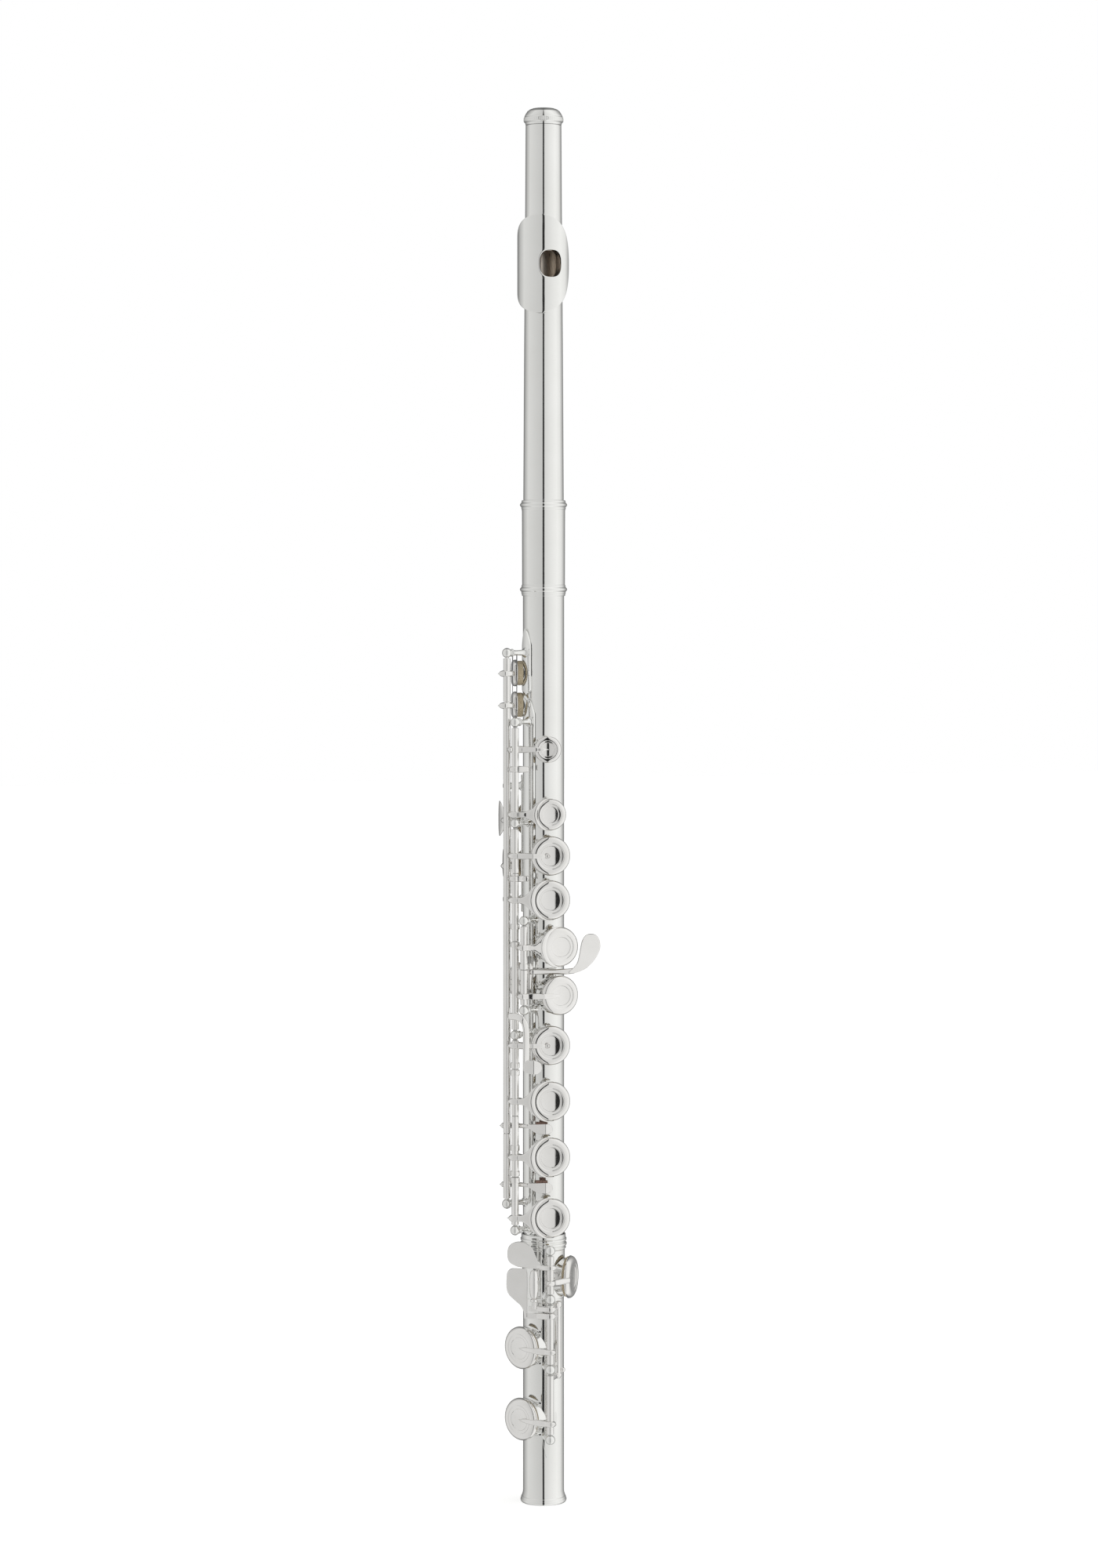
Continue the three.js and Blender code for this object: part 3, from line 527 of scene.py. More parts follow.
# ---------------------------------------------------------------- arms


def saddle(top, pitch):
    """The start of an arm: the saddle that holds it on its hinge tube, pointed behind it."""
    back = top - 2.4 * pitch
    return [(-3.4, 0.1, 0, 0.4, 1.0), (-2.5, 0.15, 0, 2.3, 3.0), (-1.2, back / 2 - 1, 0, 3.1, back + 2),
            (1.2, top / 2 - 1.1, 0, 3.3, top + 2.2)]


def slope(start, end):
    """A straight line of heights from (place, height) to (place, height), level past its end."""
    return lambda x: start[1] + (end[1] - start[1]) * min((x - start[0]) / (end[0] - start[0]), 1)


def pointed_arm(hinge, radius, top, boss=False):
    """A tapered arm whose ridge runs to a point over the middle of its cup."""
    across, crest = hinge.across, hinge.seat + top
    edge = across - radius
    tip = across - (1.4 if boss else 0)
    start = min(3.0, crest + 0.7 - 0.18 * (edge - 0.4))
    line = slope((1.2, start), (edge + 0.8, crest + 0.7))

    def row(x, width, thick, drop=0.0):
        return x, line(x) - drop - thick / 2, 0, width, thick

    rows = [*saddle(start, 0.18), row(3.4, 3.2, 3.2), row(5.2, 3.1, 2.3), row(edge - 0.4, 2.6, 1.9),
            row(edge + 0.6, 2.6, 1.65), row(edge + 1.0, 2.6, 1.6), row(edge + 1.8, 2.4, 1.45, 0.03),
            row((edge + tip) / 2 + 1, 2.0, 1.2, 0.15), row(tip - 1.2, 1.0, 0.9, 0.5), row(tip, 0.3, 0.4, 0.9)]
    shells = [hinge.put(bar(rows, power=2.8))]
    if boss:
        profile = [(0, 0), (1.3, 0), (1.35, 0.8), (1.15, 1.0), (0.85, 0.95), (0.75, 0.55), (0.6, 0.95),
                   (0, 1.0)]
        button = lathe(fillet(profile, 0.1, 2)[::-1], 40)
        shells.append(hinge.put(place(button, (tip, crest - 0.3, 0), (1, 0, 0), (0, 0, 1), (0, 1, 0))))
    return shells


def dropped_arm(hinge, radius, top):
    """A short arm whose tail stands out from the tube, and which drops to a cup lower down."""
    across, crest = hinge.across, hinge.seat + top
    rows = [
        (0, 3.9, 0, 0.5, 0.7), (0, 3.0, 0, 2.4, 2.6), (0, 1.2, 0, 3.2, 4.6), (0.3, -1.0, 0, 3.1, 4.2),
        (1.7, -2.8, 0, 2.7, 2.4), (across - radius + 0.8, crest - 0.1, 0, 2.5, 1.5),
        (across - 1.5, crest + 0.3, 0, 1.5, 1.0), (across, crest + 0.2, 0, 0.4, 0.5),
    ]
    return [hinge.put(bar(rows, up=(1, 1, 0), power=2.6))]


def forked_arm(hinge, radius, top):
    """An arm that flares into a crescent, which thins away round the near half of its cup."""
    across, crest = hinge.across, hinge.seat + top + 0.3
    edge, size = across - radius, radius / 9.45
    rows = []
    for a in np.radians(np.linspace(-100, 100, 41)):
        share = max(math.cos(0.9 * a), 0.0)
        outer = radius + 1.1 * share ** 0.9
        width = 0.12 + 2.8 * size * share ** 1.6
        middle, thick = outer - width / 2, 0.5 + 1.3 * share
        rows.append((across - middle * math.cos(a), crest - 1.5 * (1 - share) ** 1.5 - thick / 2,
                     middle * math.sin(a), width, thick))
    crescent = bar(rows, power=3.2, per=2, ends=(0.1, 0.1))
    start = min(3.0, crest - 0.05 - 0.17 * (edge - 0.8))
    line = slope((1.2, start), (edge + 0.4, crest - 0.05))
    web = saddle(start, 0.17)
    for x, width, thick in ((edge - 4.4, 3.0, 3.4), (edge - 2.9, 4.2, 2.2), (edge - 1.2, 7.4 * size, 1.5),
                            (edge - 0.2, 10.2 * size, 1.3), (edge + 1.2, 13.4 * size, 1.2)):
        web.append((x, line(x) - thick / 2, 0, width, thick))
    stem = bar(web, power=3.6, sides=20, ends=(0.5, 0.1))
    return [hinge.put(crescent), hinge.put(stem)]


def g_sharp_arm(hinge, radius, top):
    """Runs round the rod side of the tube to the cup behind it."""
    across, crest = hinge.across, hinge.seat + top
    rows = [(-0.2, -0.6, 0, 2.4, 1.8), (0.4, 2.4, 0, 2.6, 1.8), (1.0, 6.0, 0, 2.6, 1.8),
            (2.4, 10.0, 0, 2.6, 1.8),
            (4.2, crest - 1.6, 0, 2.6, 1.8), (6.6, crest + 0.3, 0, 2.3, 1.6),
            (across - 1.4, crest + 0.4, 0, 1.2, 1.0),
            (across, crest + 0.3, 0, 0.3, 0.4)]
    return [hinge.put(bar(rows, power=2.6))]


# ---------------------------------------------------------------- hinge parts


def hinge_tube(line, low, high, outer=ROD["outer"], inner=ROD["steel"] + 0.1, rounding=0.16):
    """A tube on a hinge line, with softly broken ends."""
    profile = [(inner, low), (outer, low), (outer, high), (inner, high), (inner, low)]
    return stand(lathe(fillet(profile, rounding, 3)[:-1], 32, closed=True), *line)


def post_shell(point, z, base, ball_radius):
    """A turned post: flared foot, waisted stem, bead, and a ball that holds the hinge."""
    out, around = radial(point)
    height = math.hypot(point[0], point[1])
    stem, foot, neck = ROD["stem"], ROD["foot"], height - ball_radius * 0.86
    profile = [
        (0, base - 0.6), (foot, base - 0.6), (foot, base + 0.25), (foot * 0.78, base + 0.7),
        (stem, base + 2.0), (stem * 0.86, (base + neck) / 2 + 0.6), (stem, neck - 1.4),
        (stem + 0.55, neck - 1.1),
        (stem + 0.55, neck - 0.6), (stem, neck - 0.3), (stem, neck + 0.3), (0, neck + 0.4),
    ]
    stem_shell = place(lathe(fillet(profile, 0.3, 3), 28), (0, 0, z), around, Z, out)
    return [stem_shell, ball((point[0], point[1], z), ball_radius, sides=28)]


def strap_shell(angle, half_angle, low, high, inner, outer, low_point, high_point):
    """A soldered strap: a strip bent round the tube, with pointed ends and softened edges."""
    steps, rings = 14, []
    ends = np.linspace(0, 1, 7) ** 1.5
    between = np.linspace(low + low_point, high - high_point, 4)[1:-1]
    heights = [*low + low_point * ends, *between, *high - high_point * ends[::-1]]
    for z in heights:
        share = min(1, (z - low) / low_point, (high - z) / high_point)
        half = max(half_angle * max(share, 0.0) ** 0.6, 0.4)
        spread_angles = np.linspace(-half, half, steps)
        outside = [(outer - (STRAP_EDGE if k in (0, steps - 1) else 0), angle + a)
                   for k, a in enumerate(spread_angles)]
        inside = [(inner, angle + a) for a in spread_angles[::-1]]
        ring = [(r * math.sin(math.radians(a)), -r * math.cos(math.radians(a)), z)
                for r, a in outside + inside]
        rings.append(np.array(ring))
    return skin(rings)


def steel_rod(line, low, high):
    """A hinge steel."""
    radius = ROD["steel"]
    profile = fillet([(0, low), (radius, low), (radius, high), (0, high)], 0.12, 3)
    return stand(lathe(profile, 24), *line)


def needle(start, end, radius=0.28):
    """A needle spring."""
    rows = [(*start, 2 * radius, 2 * radius), (*end, radius, radius)]
    axis = np.array(end, float) - np.array(start, float)
    up = (0, 1, 0) if abs(axis[2]) > abs(axis[1]) else (0, 0, 1)
    return bar(rows, up=up, power=2, sides=8, per=2, ends=(0.1, 0.1))


# ---------------------------------------------------------------- tubes


def chimney_shell(face, out, radius, tube, bore):
    """A tone-hole chimney drawn from the tube wall: a smooth flare up to a rolled rim."""
    rim = face @ out - 0.3
    across = np.cross(Z, out)
    turns = circle(64)

    def ring(rho, lift=None, height=None):
        x, z = rho * np.cos(turns), rho * np.sin(turns)
        wall = np.sqrt(np.maximum(tube ** 2 - x ** 2, 1))
        level = wall + lift if height is None else np.full(len(turns), height)
        return np.column_stack([x, z, level])

    rings = [ring(radius + 1.5, -0.25), ring(radius + 1.1, 0.02), ring(radius + 0.6, 0.16),
             ring(radius + 0.25, 0.42), ring(radius + 0.08, 0.8)]
    start = tube + 0.9
    rings += [ring(radius, height=max(start, rim - 0.5)), ring(radius, height=rim - 0.25),
              ring(radius + 0.1, height=rim - 0.1), ring(radius, height=rim), ring(radius - 0.25, height=rim),
              ring(radius - 0.4, height=rim - 0.15), ring(radius - 0.45, height=rim - 0.5),
              ring(radius - 0.45, bore - tube + 0.05), ring(radius + 0.4, bore - tube + 0.05)]
    shell = skin(rings, closed=True)
    return place(shell, (0, 0, face[2]), across, Z, out)


def hole_cutter(face, out, radius):
    rim = face @ out
    across = np.cross(Z, out)
    shell = lathe([(0, 2), (radius - 0.5, 2), (radius - 0.5, rim + 3), (0, rim + 3)], 64)
    return place(shell, (0, 0, face[2]), across, Z, out)


def tube_with_holes(name, body, node, outline, bore, tube):
    """A drawn tube: its outline and bore turned, the tone holes cut, and the chimneys raised round them."""
    made = piece(name, body, [lathe([*outline, *bore], 128, closed=True)], SILVER, [node])
    foot = body == "foot_joint"
    seats = [closed_seat(pad, key) for key, pads in KEYS.items()
             if key.startswith("foot") == foot for pad in pads]
    cut(made, [hole_cutter(face, out, seat.radius - 0.65) for face, out, seat in seats])
    chimneys = [chimney_shell(face, out, seat.radius - 0.65, tube, bore[0][0]) for face, out, seat in seats]
    piece(f"{name}_chimneys", body, chimneys, SILVER)


TUBE_OUTER = 9.9
body_low, body_high = span("body_tube")
_, foot_high = span("foot_tube")
barrel_low, barrel_high = span("barrel")
head_low, head_high = span("head_tube")


def body_tube():
    shoulder = foot_high + 0.5
    outline = fillet([(9.52, body_low), (9.55, shoulder), (TUBE_OUTER, shoulder + 0.3),
                      (TUBE_OUTER, body_high)],
                     0.1)
    bore = [(TUBE_OUTER - WALL, body_high), (TUBE_OUTER - WALL, shoulder + 2), (9.1, shoulder + 1),
            (9.1, body_low)]
    tube_with_holes("tube_body", "body_joint", "body_tube", outline, bore, TUBE_OUTER)


# A barrel ring from its upper end down: (radius, distance from the end).
RING = [(10.3, 0), (10.5, 0.15), (10.6, 0.6), (10.55, 0.95), (10.8, 1.25), (11.3, 1.9), (11.4, 2.25),
        (11.3, 2.65), (10.8, 3.25), (10.6, 3.5), (10.72, 3.9), (10.6, 4.3), (10.42, 4.5), (10.48, 4.85),
        (10.38, 5.2)]


def barrel_tube():
    """The barrel, with a turned ring at each end."""
    foot = barrel_low + 0.6
    outline = [(r, top - z) for top in (foot + 5.4, barrel_high + 0.2) for r, z in RING[::-1]]
    bore = [(10.05, barrel_high), (10.05, body_high + 0.6), (10.2, body_high + 0.6), (10.2, foot)]
    shell = lathe([*fillet(outline, 0.12, 2), *bore], 128, closed=True)
    piece("barrel_beaded", "body_joint", [shell], SILVER, ["barrel"])


def foot_tube():
    """The foot joint's tube, with its beaded socket and end ring."""
    socket, ring = 98.0, 121.5
    end = [(10.6, 0.0), (11.0, 0.5), (11.1, 1.1), (10.95, 1.65), (10.75, 1.85), (10.8, 2.3), (10.55, 2.75),
           (10.3, 2.95), (10.3, 3.35), (10.05, 4.0), (9.9, 4.9)]
    top = [(10.24, ring), (10.75, ring + 0.2), (10.8, ring + 0.9), (10.45, ring + 1.1), (10.5, ring + 1.5),
           (11.15, ring + 1.9), (11.15, ring + 2.9), (10.5, ring + 3.2), (10.55, ring + 3.7),
           (11.05, ring + 4.1),
           (11.1, ring + 5.0), (10.6, ring + 5.3), (10.7, ring + 6.2), (10.6, foot_high)]
    outline = [*end, (9.84, 5.5), (9.83, socket), (10.25, socket + 0.8), (10.24, ring - 0.5), *top]
    bore = [(9.85, foot_high), (9.85, 101.5), (9.45, 101.5), (9.45, 0.0)]
    tube_with_holes("tube_foot", "foot_joint", "foot_tube", fillet(outline, 0.16, 2), bore, 9.85)


# ---------------------------------------------------------------- head joint

HOLE_ANGLE = 3.5                  # of the embouchure hole round the bore
HOLE = (5.6, 6.5)                 # half width and half length
HOLE_POWER = 2.6                  # its roundness: 2 is an ellipse
LIP = {"angle": -19.5, "left": 104, "right": 82, "outer": 12.6, "thick": 0.85}


def head_axes():
    """The directions across and out of the embouchure hole."""
    a = math.radians(HOLE_ANGLE)
    return np.array([math.cos(a), math.sin(a), 0.0]), np.array([math.sin(a), -math.cos(a), 0.0])


def head_tube():
    taper = [(9.72, head_low), (9.72, head_low + 0.2), (9.31, 555), (8.8, 625), (8.6, head_high)]
    inside = [(r - 0.45, z) for r, z in reversed(taper)]
    shell = lathe([*taper, *inside], 128, closed=True)
    made = piece("tube_head", "head_joint", [shell], SILVER, ["head_tube"])
    along, out = head_axes()
    turns = circle(64)
    x, z = oval(HOLE[0] - 0.1, HOLE[1] - 0.1, turns, HOLE_POWER)
    rings = [np.column_stack([x, np.full(64, y), z]) for y in (3, 16)]
    low, high = span("lip_plate")
    cut(made, [place(skin(rings), (0, 0, (low + high) / 2), along, out)])
    made.data.materials.append(INNER_SILVER)
    for face in made.data.polygons:
        toward = Vector((face.center.x, face.center.y, 0))
        if face.normal.dot(toward) < -0.5 * toward.length:
            face.material_index = 1


def head_tenon():
    low, high = span("head_tenon")
    top = high + 0.7
    profile = [(9.3, low), (9.73, low), (9.73, high + 0.1), (9.6, high + 0.15), (9.6, top), (9.3, top)]
    piece("tenon_head", "head_slide", [lathe(profile, 96, closed=True)], SILVER, ["head_tenon"])


def lip_plate():
    """The lip plate: an oval sheet bent round the tube, further on the player's side of the hole."""
    low, high = span("lip_plate")
    middle, half_length = (low + high) / 2, (high - low) / 2
    outer, thick = LIP["outer"], LIP["thick"]
    turns = circle(120)
    hole_x, hole_z = oval(HOLE[0], HOLE[1], turns, HOLE_POWER)
    hole_a = hole_x / outer
    reach = np.where(np.cos(turns) > 0, LIP["right"], LIP["left"])
    edge_a = np.radians(LIP["angle"] - HOLE_ANGLE + reach * np.cos(turns))
    edge_z = half_length * np.sin(turns)

    def ring(share, radius):
        a = hole_a + (edge_a - hole_a) * share
        z = hole_z + (edge_z - hole_z) * share
        return np.column_stack([radius * np.sin(a), radius * np.cos(a), z])

    rings = [ring(0, outer - 0.12), ring(0.015, outer - 0.02)]
    rings += [ring(s, outer) for s in np.linspace(0.03, 0.97, 24)]
    rings += [ring(0.985, outer - 0.02), ring(0.996, outer - 0.12), ring(1.0, outer - 0.35),
              ring(0.998, outer - 0.65), ring(0.985, outer - thick)]
    rings += [ring(s, outer - thick) for s in np.linspace(0.95, 0.0, 12)]
    along, out = head_axes()
    shell = place(skin(rings, closed=True), (0, 0, middle), along, out)
    piece("lip_plate_bent", "head_joint", [shell], SILVER, ["lip_plate"])

    def wall(grow, height):
        x, z = oval(HOLE[0] + grow, HOLE[1] + grow, turns, HOLE_POWER)
        a = x / outer
        return np.column_stack([height * np.sin(a), height * np.cos(a), z])

    top, bottom = outer - 0.14, 8.95
    levels = np.linspace(top, bottom, 6)
    rings = [*(wall(0, h) for h in levels), wall(1.1, bottom), wall(1.0, 10.0),
             wall(1.0, outer - thick - 0.05)]
    shell = place(skin(rings, closed=True), (0, 0, middle), along, out)
    piece("riser_wall", "head_joint", [shell], INNER_SILVER, ["embouchure_riser"])


def crown():
    """The crown: a turned cap with grooves, a knurled band and a shallow dome."""
    low, high = span("crown")
    seam = head_high + 0.3
    profile = [
        (1.8, low), (7.75, low), (7.75, seam), (8.66, seam), (8.7, seam + 0.5), (8.8, seam + 0.7),
        (8.85, seam + 1.0), (9.2, seam + 1.3), (9.5, seam + 1.6), (9.55, seam + 2.6), (9.45, seam + 3.6),
        (9.2, seam + 3.85), (9.15, seam + 4.3), (8.9, seam + 4.8), (8.5, seam + 5.5), (7.8, high - 1.6),
        (6.6, high - 0.7), (5.2, high - 0.2), (3.5, high), (0, high + 0.1),
    ]
    band = (seam + 1.62, seam + 3.58)

    def knurl(height, turns):
        return 0.035 * np.sin(90 * turns) if band[0] <= height <= band[1] else 0 * turns

    bored = [(0, low + 8), (1.8, low + 8)]
    shell = lathe([*bored, *fillet(profile, 0.14, 2)], 720, ripple=knurl)
    piece("crown_turned", "crown", [shell], SILVER, ["crown"])


def stopper():
    low, high = span("stopper_screw")
    cork_low, cork_high = span("stopper_cork")
    screw = [(0, low), (7.55, low), (7.6, cork_low - 0.3), (1.45, cork_low - 0.3), (1.45, cork_high + 0.3),
             (6.35, cork_high + 0.3), (6.35, cork_high + 1.3), (1.45, cork_high + 1.3)]
    pitch = 0.35
    threads = [(1.45 - 0.18 * (k % 2), cork_high + 1.6 + pitch * k)
               for k in range(int((high - cork_high - 2) / pitch))]
    rod = lathe([*screw, *threads, (1.3, high), (0, high)], 48)
    piece("stopper_rod", "stopper", [rod], STEEL, ["stopper_screw"])
    plug = fillet([(1.85, cork_low), (7.7, cork_low), (7.88, cork_low + 2), (7.88, cork_high - 2),
                   (7.7, cork_high),
                   (1.85, cork_high), (1.85, cork_low)], 0.3, 2)[:-1]
    piece("stopper_plug", "stopper", [lathe(plug, 64, closed=True)], CORK, ["stopper_cork"])


# ---------------------------------------------------------------- straps, posts and steels


def post_heights(node, body):
    """The heights of a strap's posts on one hinge line: where its solid reaches past the line."""
    x, y = hinge_of(body)
    points = cad_points(node)
    near = points[np.hypot(points[:, 0] - x, points[:, 1] - y) < 2.45]
    heights = np.sort(near[:, 2])
    groups = np.split(heights, np.where(np.diff(heights) > 3)[0] + 1)
    return [(g.min() + g.max()) / 2 for g in groups if g.max() - g.min() > 3]


def posts_on(node, body, base, ball_radius):
    point = hinge_of(body)
    return [shell for z in post_heights(node, body) for shell in post_shell(point, z, base, ball_radius)]


def straps():
    """The straps: (node, angle, half angle, top if not the solid's own, points) and their keys' posts."""
    ball_size = ROD["ball"]
    table = [
        ("main", -56, 19.5, 386.2, (2.5, 8),
         {"c_key": ball_size, "g_key": ball_size, "g_sharp_key": 1.8, "trill_d_key": ball_size}),
        ("trill", -69.2, 20, None, (3, 8), {"trill_d_key": ball_size}),
        ("thumb", -111.5, 12, None, (8, 8), {"thumb_b_key": ball_size}),
    ]
    for name, angle, half_angle, top, points, posts in table:
        low, high = span(f"rib_{name}")
        shells = [strap_shell(angle, half_angle, low, top or high, 9.85, 10.85, *points)]
        for body, size in posts.items():
            shells += posts_on(f"rib_{name}", body, 10.6, size)
        piece(f"strap_{name}", "body_joint", shells, SILVER, [f"rib_{name}"])
    low, high = span("foot_rib")
    shells = [strap_shell(-4.5, 15.5, low, 121, 9.8, 11.1, 14, 1),
              strap_shell(-4.5, 12, 119.4, high, 10.9, 12, 1, 2)]
    shells += posts_on("foot_rib", "foot_c_key", 11, ball_size)
    piece("strap_foot", "foot_joint", shells, SILVER, ["foot_rib"])


STEELS = {
    "steel_left_hand": "c_key", "steel_right_hand": "d_key", "steel_offset_g": "g_key",
    "steel_g_sharp": "g_sharp_key", "steel_thumb": "thumb_b_key", "steel_foot": "foot_c_key",
}


def steels():
    for node, key in STEELS.items():
        rod = steel_rod(hinge_of(key), *span(node))
        piece(f"{node}_rod", "foot_joint" if node == "steel_foot" else "body_joint", [rod], STEEL, [node])


# ---------------------------------------------------------------- keys
# Each key: for every pad the arm that carries its cup.

KEYS = {
    "c_key": {"pad_csharp": pointed_arm, "pad_c": forked_arm},
    "b_flat_key": {"pad_bflat": pointed_arm},
    "a_key": {"pad_a": forked_arm},
    "g_key": {"pad_g": forked_arm},
    "upper_g_key": {"pad_upper_g": pointed_arm},
    "g_sharp_key": {"pad_gsharp": g_sharp_arm},
    "thumb_b_key": {"pad_thumb_b": pointed_arm},
    "thumb_b_flat_key": {"pad_thumb_bflat": pointed_arm},
    "f_sharp_key": {"pad_fsharp": pointed_arm},
    "f_key": {"pad_f": forked_arm},
    "e_key": {"pad_e": forked_arm},
    "d_key": {"pad_d": forked_arm},
    "trill_d_key": {"pad_trill_d": dropped_arm},
    "trill_d_sharp_key": {"pad_trill_dsharp": dropped_arm},
    "side_lever": {},
    "foot_d_sharp_key": {"pad_foot_dsharp": pointed_arm},
    "foot_c_sharp_key": {"pad_foot_csharp": pointed_arm},
    "foot_c_key": {"pad_foot_c": pointed_arm},
}
BOSSED = ("b_flat_key", "f_sharp_key")
DOMED = ("g_sharp_key", "thumb_b_key", "thumb_b_flat_key", "trill_d_key", "trill_d_sharp_key")


def touch_place(shell):
    """Moves a shell drawn as (x, out, z) in the frame that faces the fingers."""
    a = math.radians(TOUCH_ANGLE)
    return place(shell, (0, 0, 0), (math.cos(a), math.sin(a), 0), (math.sin(a), -math.cos(a), 0))


def at_rest(shell, body):
    """Touches are drawn with the key shut; a key that rests open carries them round by its opening."""
    return turned(touch_place(shell), opening(body), hinge_of(body))


def cup_and_pad(body, name, arm):
    seat = Seat(name)
    hinge = Hinge(body, seat)
    top = CUP["top"] if seat.thick < 2.5 else CUP["top"] + 1
    radius = seat.radius + 0.7
    extra = {"boss": True} if body in BOSSED else {}
    shells = [on_seat(cup_shell(seat, body in DOMED), seat), *arm(hinge, radius, top, **extra)]
    piece(name + "_felt", body, [on_seat(pad_shell(seat), seat)], PAD, [name])
    return shells


def trill_touch(z):
    """A long arm that rises from the hinge to a teardrop touch, bent down at its tip."""
    stem = [(-20.6, 12.0, z + 1.1, 0.5, 0.8), (-19.7, 12.0, z + 1.1, 2.4, 2.6),
            (-18, 11.9, z + 1.1, 2.6, 2.4),
            (-15, 11.9, z + 1.1, 2.6, 2.0), (-11.6, 12.3, z + 1.1, 2.2, 1.7), (-8.6, 13.6, z + 1.0, 1.9, 1.4),
            (-7.4, 13.9, z + 0.9, 1.8, 1.2)]
    blade = [(-9.2, z + 0.5, z + 1.6), (-6.8, z - 0.3, z + 1.8), (-4.1, z - 2.0, z + 2.0),
             (-1.0, z - 2.8, z + 2.2),
             (1.1, z - 2.8, z + 2.3), (2.6, z - 2.5, z + 2.0), (3.9, z - 1.7, z + 1.1),
             (4.4, z - 0.8, z - 0.2)]
    return [bar(stem, power=2.8), ribbon(blade, lambda x: 15.8 + (0.16 if x < 1.1 else -0.28) * (x - 1.1))]


def g_sharp_touch():
    """A straight arm over the tube and a broad teardrop that turns up beside it."""
    stem = [(-6.6, 12.6, 255.6, 2.6, 2.6), (-5, 13.0, 255.6, 2.6, 2.4), (-2, 12.7, 255.6, 2.6, 2.1),
            (7, 11.9, 255.6, 2.5, 1.8), (12, 11.4, 255.7, 2.6, 1.6), (14.5, 11.2, 256.0, 2.6, 1.4)]
    blade = [(254.8, 12.0, 14.6), (255.6, 12.2, 17.4), (257.0, 13.8, 20.4), (259.0, 15.6, 22.8),
             (261.0, 16.4, 24.5),
             (264.0, 17.1, 26.3), (267.0, 17.6, 27.2), (270.0, 18.3, 26.9), (272.4, 19.7, 25.5),
             (273.4, 21.6, 23.6)]
    return [bar(stem, up=(0.2, 1, 0)), ribbon(blade, lambda x: 12.6 - 0.3 * (x - 14), upright=True)]


def side_lever_touch():
    """A lever that leaves the hinge, turns down beside the tube and ends in a bent paddle."""
    stem = [(-15.9, 15.6, 234.7, 3.2, 2.4), (-12.8, 18.2, 234.7, 3.2, 1.9), (-10.0, 20.2, 233.4, 3.1, 1.7),
            (-8.5, 20.8, 230.0, 3.0, 1.4), (-8.2, 20.8, 224, 3.0, 1.4), (-8.2, 20.5, 217, 3.0, 1.3),
            (-8.2, 19.9, 213.0, 3.0, 0.8)]
    paddle = [(-9.7, 210.4, 213.2), (-9.3, 209.0, 214.0), (-7.2, 208.0, 214.3), (-4.5, 207.6, 214.2),
              (-2.6, 207.9, 213.6), (-1.3, 208.9, 212.6), (-0.8, 210.2, 211.4)]
    return [bar(stem, up=(0.3, 1, 0), sides=20),
            ribbon(paddle, lambda x: 21.2 + (0.14 if x < -4.5 else -0.3) * (x + 4.5))]


def thumb_touch(z, half_height, lift):
    rows = [(-17.6, -2.2, z, 3.4, 1.8), (-19.4 + 0.6 * lift, -5.2, z, 1.4 * half_height, 1.3),
            (-20.3 + lift, -8.5, z, 1.9 * half_height, 1.2), (-19.9 + lift, -11.5, z, 1.8 * half_height, 1.2),
            (-18.8 + lift, -14.3, z, 1.1 * half_height, 1.0)]
    return [bar(rows, up=(-1, 0, 0), power=2.8, sides=24, ends=(0.3, 0.7))]


def foot_root(z, width=3.1):
    """The saddle of a foot touch on its hinge tube, sloping down towards the blade."""
    rows = [(6.2, 20.2, z, 0.5, 1.0), (5.2, 20.3, z, 2.3, 3.0), (3.8, 20.5, z, width, 4.7),
            (1.8, 20.4, z, width, 4.5),
            (-0.4, 19.9, z, width, 3.0), (-2.8, 19.1, z, width - 0.3, 1.7)]
    return bar(rows)


def foot_slope(x):
    return 20.7 + 0.29 * x


def d_sharp_spatula():
    blade = [(-17.2, 119.8, 122.6), (-16.6, 118.0, 124.6), (-15.2, 116.7, 126.2), (-12.6, 115.6, 127.3),
             (-10.0, 115.2, 127.3), (-7.6, 115.0, 126.5), (-5.2, 114.8, 124.4), (-3.7, 114.6, 121.0),
             (-2.6, 114.5, 118.6), (-0.9, 114.4, 117.2), (1.2, 114.4, 116.9)]
    return [foot_root(115.6, 2.7), ribbon(blade, foot_slope)]


def c_sharp_spatula():
    blade = [(91.2, -9.0, -7.3), (94.8, -9.4, -7.3), (97.4, -10.8, -7.3), (99.6, -13.3, -7.3),
             (102.2, -16.0, -7.3),
             (105, -17.1, -7.3), (109, -17.2, -7.3), (112.4, -16.9, -7.4), (114.2, -15.8, -7.7),
             (114.9, -14.4, -8.6)]
    arm = [(-1.5, 91.2, 93.9), (-4.5, 91.2, 93.9), (-8.9, 91.2, 93.9)]
    return [foot_root(92.6), ribbon(blade, foot_slope, upright=True), ribbon(arm, foot_slope)]


